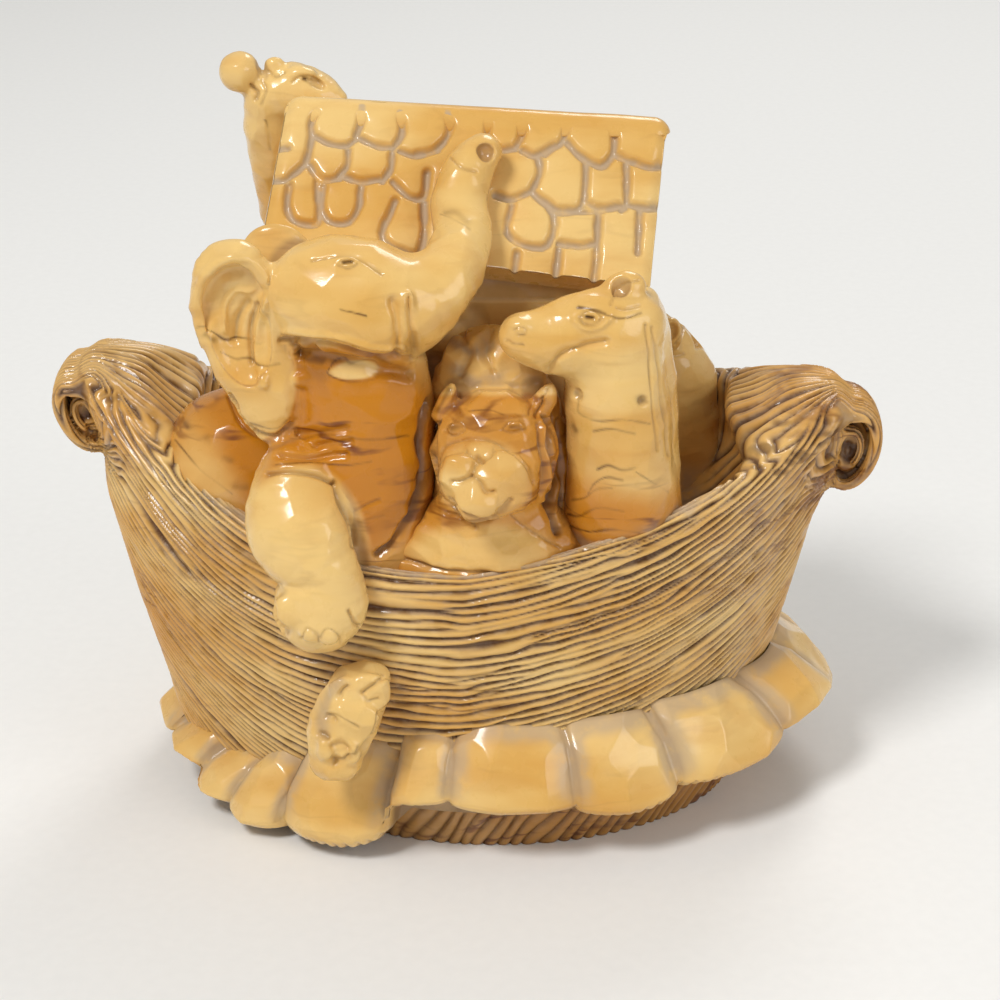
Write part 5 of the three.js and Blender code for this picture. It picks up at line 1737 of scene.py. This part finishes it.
def build_horse():
    horse = Figure(0.41, -0.64, HORSE_HEIGHT)
    forms = {
        "horse_head": horse.limb([
            (0.01, -0.03, 0.855, 0.085, 0.085),
            (-0.06, -0.045, 0.84, 0.115, 0.105),
            (-0.16, -0.075, 0.82, 0.12, 0.1),
            (-0.25, -0.097, 0.82, 0.09, 0.083),
            (-0.305, -0.11, 0.835, 0.065, 0.065),
        ]),
        "horse_ear": horse.egg((-0.02, -0.035, 0.945), (0.07, 0.045, 0.055), tilt=-20),
        "horse_neck": horse.limb([
            (-0.005, 0.005, 0.07, 0.185, 0.15),
            (-0.005, -0.012, 0.26, 0.175, 0.155),
            (-0.02, -0.025, 0.467, 0.155, 0.15),
            (-0.035, -0.03, 0.667, 0.15, 0.14),
            (-0.03, -0.03, 0.8, 0.13, 0.125),
        ]),
        "horse_mane": horse.limb([
            (0.11, 0.05, -0.02, 0.067, 0.1),
            (0.12, 0.05, 0.2, 0.06, 0.105),
            (0.112, 0.05, 0.4, 0.055, 0.1),
            (0.1, 0.05, 0.6, 0.052, 0.09),
            (0.078, 0.037, 0.77, 0.05, 0.08),
            (0.052, 0.02, 0.89, 0.04, 0.067),
        ]),
    }
    dabs = [
        # Eyelid, nostril, hole of the ear and two knots
        ("add", (590, 317), (2.8, 1.1, 1.4), 0.5, 8),
        ("add", (520, 327), (2.4, 1.6, 1.6), 1.0, 0),
        ("cut", (621, 284), (1.6, 1.2, 2.2), 0.0, 0),
        ("cut", (577, 395), (0.8, 0.8, 0.9), 0.0, 0),
        ("cut", (644, 401), (1.0, 0.8, 0.8), 0.0, 0),
    ]
    head, neck, mane, ear = "horse_head", "horse_neck", "horse_mane", "horse_ear"
    face = [head, neck]
    strokes = [
        # Nostril and mouth
        (face, "line", [(514, 330), (519, 327), (526, 329), (525, 335), (518, 335)]),
        (face, "line", [(506, 341), (514, 345), (523, 345)]),
        # Eye, and the dark ring across it
        (face, "line", [
            (580, 318), (586, 311), (596, 311), (603, 318), (594, 325), (584, 324), (580, 318),
        ]),
        (face, "ridge", [(576, 322), (586, 329), (600, 327), (611, 318)]),
        (face, "pit", [(587, 317), (593, 318)]),
        (face + [ear], "vein", [
            (578, 308), (590, 308), (602, 312), (612, 317), (626, 318), (641, 313),
        ]),
        (face + [ear], "vein", [(579, 307), (596, 309), (606, 313)]),
        # Ear
        (face + [ear], "line", [(611, 304), (616, 292), (626, 284), (640, 280)]),
        (face + [ear], "line", [(617, 307), (626, 309), (640, 306)]),
        # Jaw
        (face, "fold", [(548, 372), (562, 356), (584, 346), (606, 342)]),
        # Knots of the neck
        ([neck], "stain", [(576, 393), (580, 397)]),
        ([neck], "stain", [(641, 400), (647, 402)]),
        ([neck], "stain", [(573, 426), (576, 430)]),
        # Rings across the neck
        ([neck], "vein", [(578, 400), (580, 414), (600, 421), (625, 420), (650, 424)]),
        ([neck], "vein", [(594, 431), (612, 429), (635, 434)]),
        ([neck], "vein", [(597, 470), (608, 466), (622, 470), (636, 468)]),
        ([neck], "vein", [(588, 494), (594, 484), (606, 478), (622, 480)]),
        ([neck], "vein", [(636, 472), (652, 482), (668, 492)]),
        ([neck], "vein", [(572, 500), (584, 498), (596, 490), (612, 488)]),
        ([neck], "vein", [(568, 514), (580, 516), (598, 508), (624, 512)]),
        ([neck], "vein", [(568, 526), (590, 532), (612, 530), (640, 534)]),
        # Hairs of the mane
        ([neck, mane], "line", [(644, 302), (650, 360), (653, 410), (658, 450)]),
        ([mane, neck], "line", [(650, 312), (658, 360), (664, 410), (670, 455)]),
        ([mane], "line", [(655, 330), (664, 380), (670, 425), (674, 470)]),
        ([mane], "line", [(652, 350), (660, 400), (666, 440), (671, 490)]),
        ([mane], "line", [(660, 340), (669, 390), (674, 440), (677, 480)]),
        # Dust at the rim
        ([neck], "dust", [(566, 532), (590, 546), (620, 545), (660, 528), (678, 512)]),
    ]

    def warm(points, pixels):
        ring = noise(points * (0.3, 0.3, 1), 5, 58) * 2
        return smooth_step(84, 66, points[:, 2] + ring) * 0.7

    carve_figure(
        forms, strokes, warm, blend=3.0, cut_depth=0.75, cut_width=7,
        blends={ear: 1.0, mane: 1.0}, dabs=dabs,
    )


def build_giraffe():
    giraffe = Figure(-0.42, 0.52, GIRAFFE_HEIGHT)
    forms = {
        "giraffe_head": giraffe.limb([
            (-0.1, -0.0625, 0.965, 0.06, 0.056),
            (-0.036, -0.069, 0.985, 0.066, 0.06),
            (0.02, -0.075, 0.975, 0.05, 0.05),
            (0.056, -0.081, 0.965, 0.032, 0.034),
        ]),
        "giraffe_horn": giraffe.egg((-0.159, -0.075, 1.0275), (0.0475, 0.0475, 0.0475)),
        "giraffe_ear": giraffe.egg((-0.08, -0.075, 1.045), (0.025, 0.02, 0.022)),
        "giraffe_neck": giraffe.limb([
            (0.0875, 0.0375, -0.02, 0.1125, 0.1),
            (0.0375, 0.044, 0.2, 0.094, 0.0875),
            (-0.025, 0.025, 0.45, 0.075, 0.075),
            (-0.075, -0.019, 0.725, 0.0625, 0.0625),
            (-0.1, -0.056, 0.9, 0.06, 0.06),
        ]),
    }
    head, neck, horn = "giraffe_head", "giraffe_neck", "giraffe_horn"
    dabs = [
        # Brow and mouth
        ("add", (302, 73), (2.6, 1.6, 1.2), 0.6, 0),
        ("cut", (318, 84), (1.6, 1.2, 0.9), 0.0, 20),
    ]
    strokes = [
        # Eye
        ([head], "line", [(292, 82), (302, 76), (314, 78), (322, 86)]),
        ([head], "pit", [(304, 79), (308, 80)]),
        # Jaw, horn and ear
        ([head, neck], "line", [(262, 80), (266, 90), (262, 104)]),
        ([horn, head, neck], "groove", [(252, 86), (257, 92), (256, 99)]),
        ([head, "giraffe_ear"], "line", [(268, 72), (276, 76), (284, 72)]),
        # A ring down the neck
        ([neck], "vein", [(262, 112), (268, 128), (270, 150)]),
    ]
    carve_figure(
        forms, strokes, no_warmth, blend=2.0, cut_depth=0.7, cut_width=4.5,
        blends={horn: 1.4, "giraffe_ear": 0.8}, dabs=dabs,
    )


def build_hippo():
    hippo = Figure(0.635, 0.43, HIPPO_HEIGHT)
    forms = {
        "hippo_head": hippo.egg((-0.1, 0.04, 0.66), (0.3, 0.2, 0.13), tilt=48),
        "hippo_body": hippo.limb([
            (-0.05, 0.05, -0.05, 0.275, 0.25),
            (-0.075, 0.05, 0.3, 0.24, 0.25),
            (-0.12, 0.0375, 0.55, 0.19, 0.2),
        ]),
        "hippo_ear": hippo.egg((-0.12, -0.14, 0.82), (0.0625, 0.05, 0.0875)),
    }
    parts = list(forms)
    dabs = [("cut", (672, 331), (1.4, 1.4, 2.2), -0.2, 20)]
    strokes = [
        # Ear, cheek and jaw
        (parts, "line", [(664, 318), (670, 312), (680, 318), (683, 332), (676, 345)]),
        (parts, "fold", [(690, 322), (698, 330), (700, 344)]),
        (parts, "line", [(664, 350), (672, 356), (684, 354)]),
    ]
    carve_figure(
        forms, strokes, no_warmth, blend=3.0, cut_depth=1.0, cut_width=6,
        blends={"hippo_ear": 1.0}, dabs=dabs,
    )


def build_creature():
    creature = Figure(-0.32, -1, CREATURE_LENGTH, SKIRT_TOP)
    forms = {
        "water_creature": creature.limb([
            (-0.07, -0.22, -0.2, 0.24, 0.18),
            (0.0, -0.14, 0.1, 0.31, 0.24),
            (0.13, -0.07, 0.38, 0.29, 0.22),
            (0.25, -0.01, 0.52, 0.2, 0.16),
        ]),
    }
    body = ["water_creature"]
    dabs = [
        # Ears, brow, cheek and lips
        ("add", (343, 690), (2.4, 1.4, 2.6), 0.8, 30),
        ("add", (372, 690), (3.6, 1.6, 3.4), 0.8, 40),
        ("add", (345, 712), (3.4, 1.6, 2.0), 0.8, 0),
        ("add", (362, 722), (3.0, 1.6, 3.6), 0.8, 20),
        ("add", (328, 748), (1.8, 1.6, 2.4), 0.6, 0),
        ("add", (350, 752), (2.2, 1.6, 2.4), 0.6, 20),
    ]
    strokes = [
        # Ears and mouth
        (body, "groove", [(363, 693), (371, 687), (384, 677)]),
        (body, "groove", [(339, 696), (343, 690), (348, 686)]),
        (body, "fold", [(333, 762), (338, 755), (345, 750)]),
        (body, "line", [(362, 694), (368, 701), (378, 700)]),
        # Eyes, nose and cheek
        (body, "groove", [(326, 716), (331, 718), (335, 721)]),
        (body, "groove", [(320, 734), (324, 735), (328, 737)]),
        (body, "line", [(330, 714), (345, 720), (358, 728)]),
        (body, "fold", [(334, 747), (342, 745), (348, 750), (346, 758)]),
        (body, "groove", [(334, 764), (344, 762), (356, 756), (360, 748)]),
        (body, "line", [(378, 712), (374, 732), (362, 750)]),
        # Dust on both sides
        (body, "dust", [(322, 735), (322, 715), (328, 695), (340, 680)]),
        (body, "dust", [(392, 715), (386, 740), (370, 762)]),
    ]
    carve_figure(forms, strokes, no_warmth, blend=1.0, cut_depth=0.9, cut_width=3.4, dabs=dabs)


# Stage

# Metres from the middle of the floor to its edges
FLOOR_REACH = 6.0


def make_floor():
    mesh = bpy.data.meshes.new("floor")
    signs = [(-1, -1), (1, -1), (1, 1), (-1, 1)]
    corners = [(x * FLOOR_REACH, y * FLOOR_REACH, 0) for x, y in signs]
    mesh.from_pydata(corners, [], [(0, 1, 2, 3)])
    paper = Nodes("floor_paper")
    place = paper.node("ShaderNodeTexCoord").outputs["Object"]
    tone = paper.mix(paper.noise(place, 400, 2), linear(0xECEBE8), linear(0xF1F0ED))
    paper.feed(paper.shader.inputs["Base Color"], tone)
    paper.shader.inputs["Roughness"].default_value = 0.9
    mesh.materials.append(paper.material)
    link_object("floor", mesh)


def make_lamp(name, place, size, power):
    data = bpy.data.lights.new(name, "AREA")
    data.shape = "DISK"
    data.size = size
    data.energy = power
    lamp = link_object(name, data)
    lamp.location = place
    aim = Vector(CAMERA_TARGET * MM) - Vector(place)
    lamp.rotation_euler = aim.to_track_quat("-Z", "Y").to_euler()


def make_light():
    make_lamp("key_lamp", place=(-0.45, -0.55, 0.95), size=0.3, power=7.5)
    make_lamp("fill_lamp", place=(0.8, -0.6, 0.5), size=0.6, power=2.6)
    make_lamp("rim_lamp", place=(0.3, 0.8, 0.9), size=0.5, power=4.0)
    world = bpy.data.worlds.new("world")
    bpy.context.scene.world = world
    world.use_nodes = True
    background = world.node_tree.nodes["Background"]
    background.inputs["Color"].default_value = linear(0xF4F4F2)
    background.inputs["Strength"].default_value = 0.42


make_camera()
build_hull()
build_skirt()
build_foot()
build_slope(-1, front_groove_paths())
build_slope(1, back_groove_paths())
build_ridge()
build_cabin()
build_elephant()
build_lion()
build_horse()
build_giraffe()
build_hippo()
build_creature()
make_floor()
make_light()
bpy.context.scene.view_settings.view_transform = "Standard"
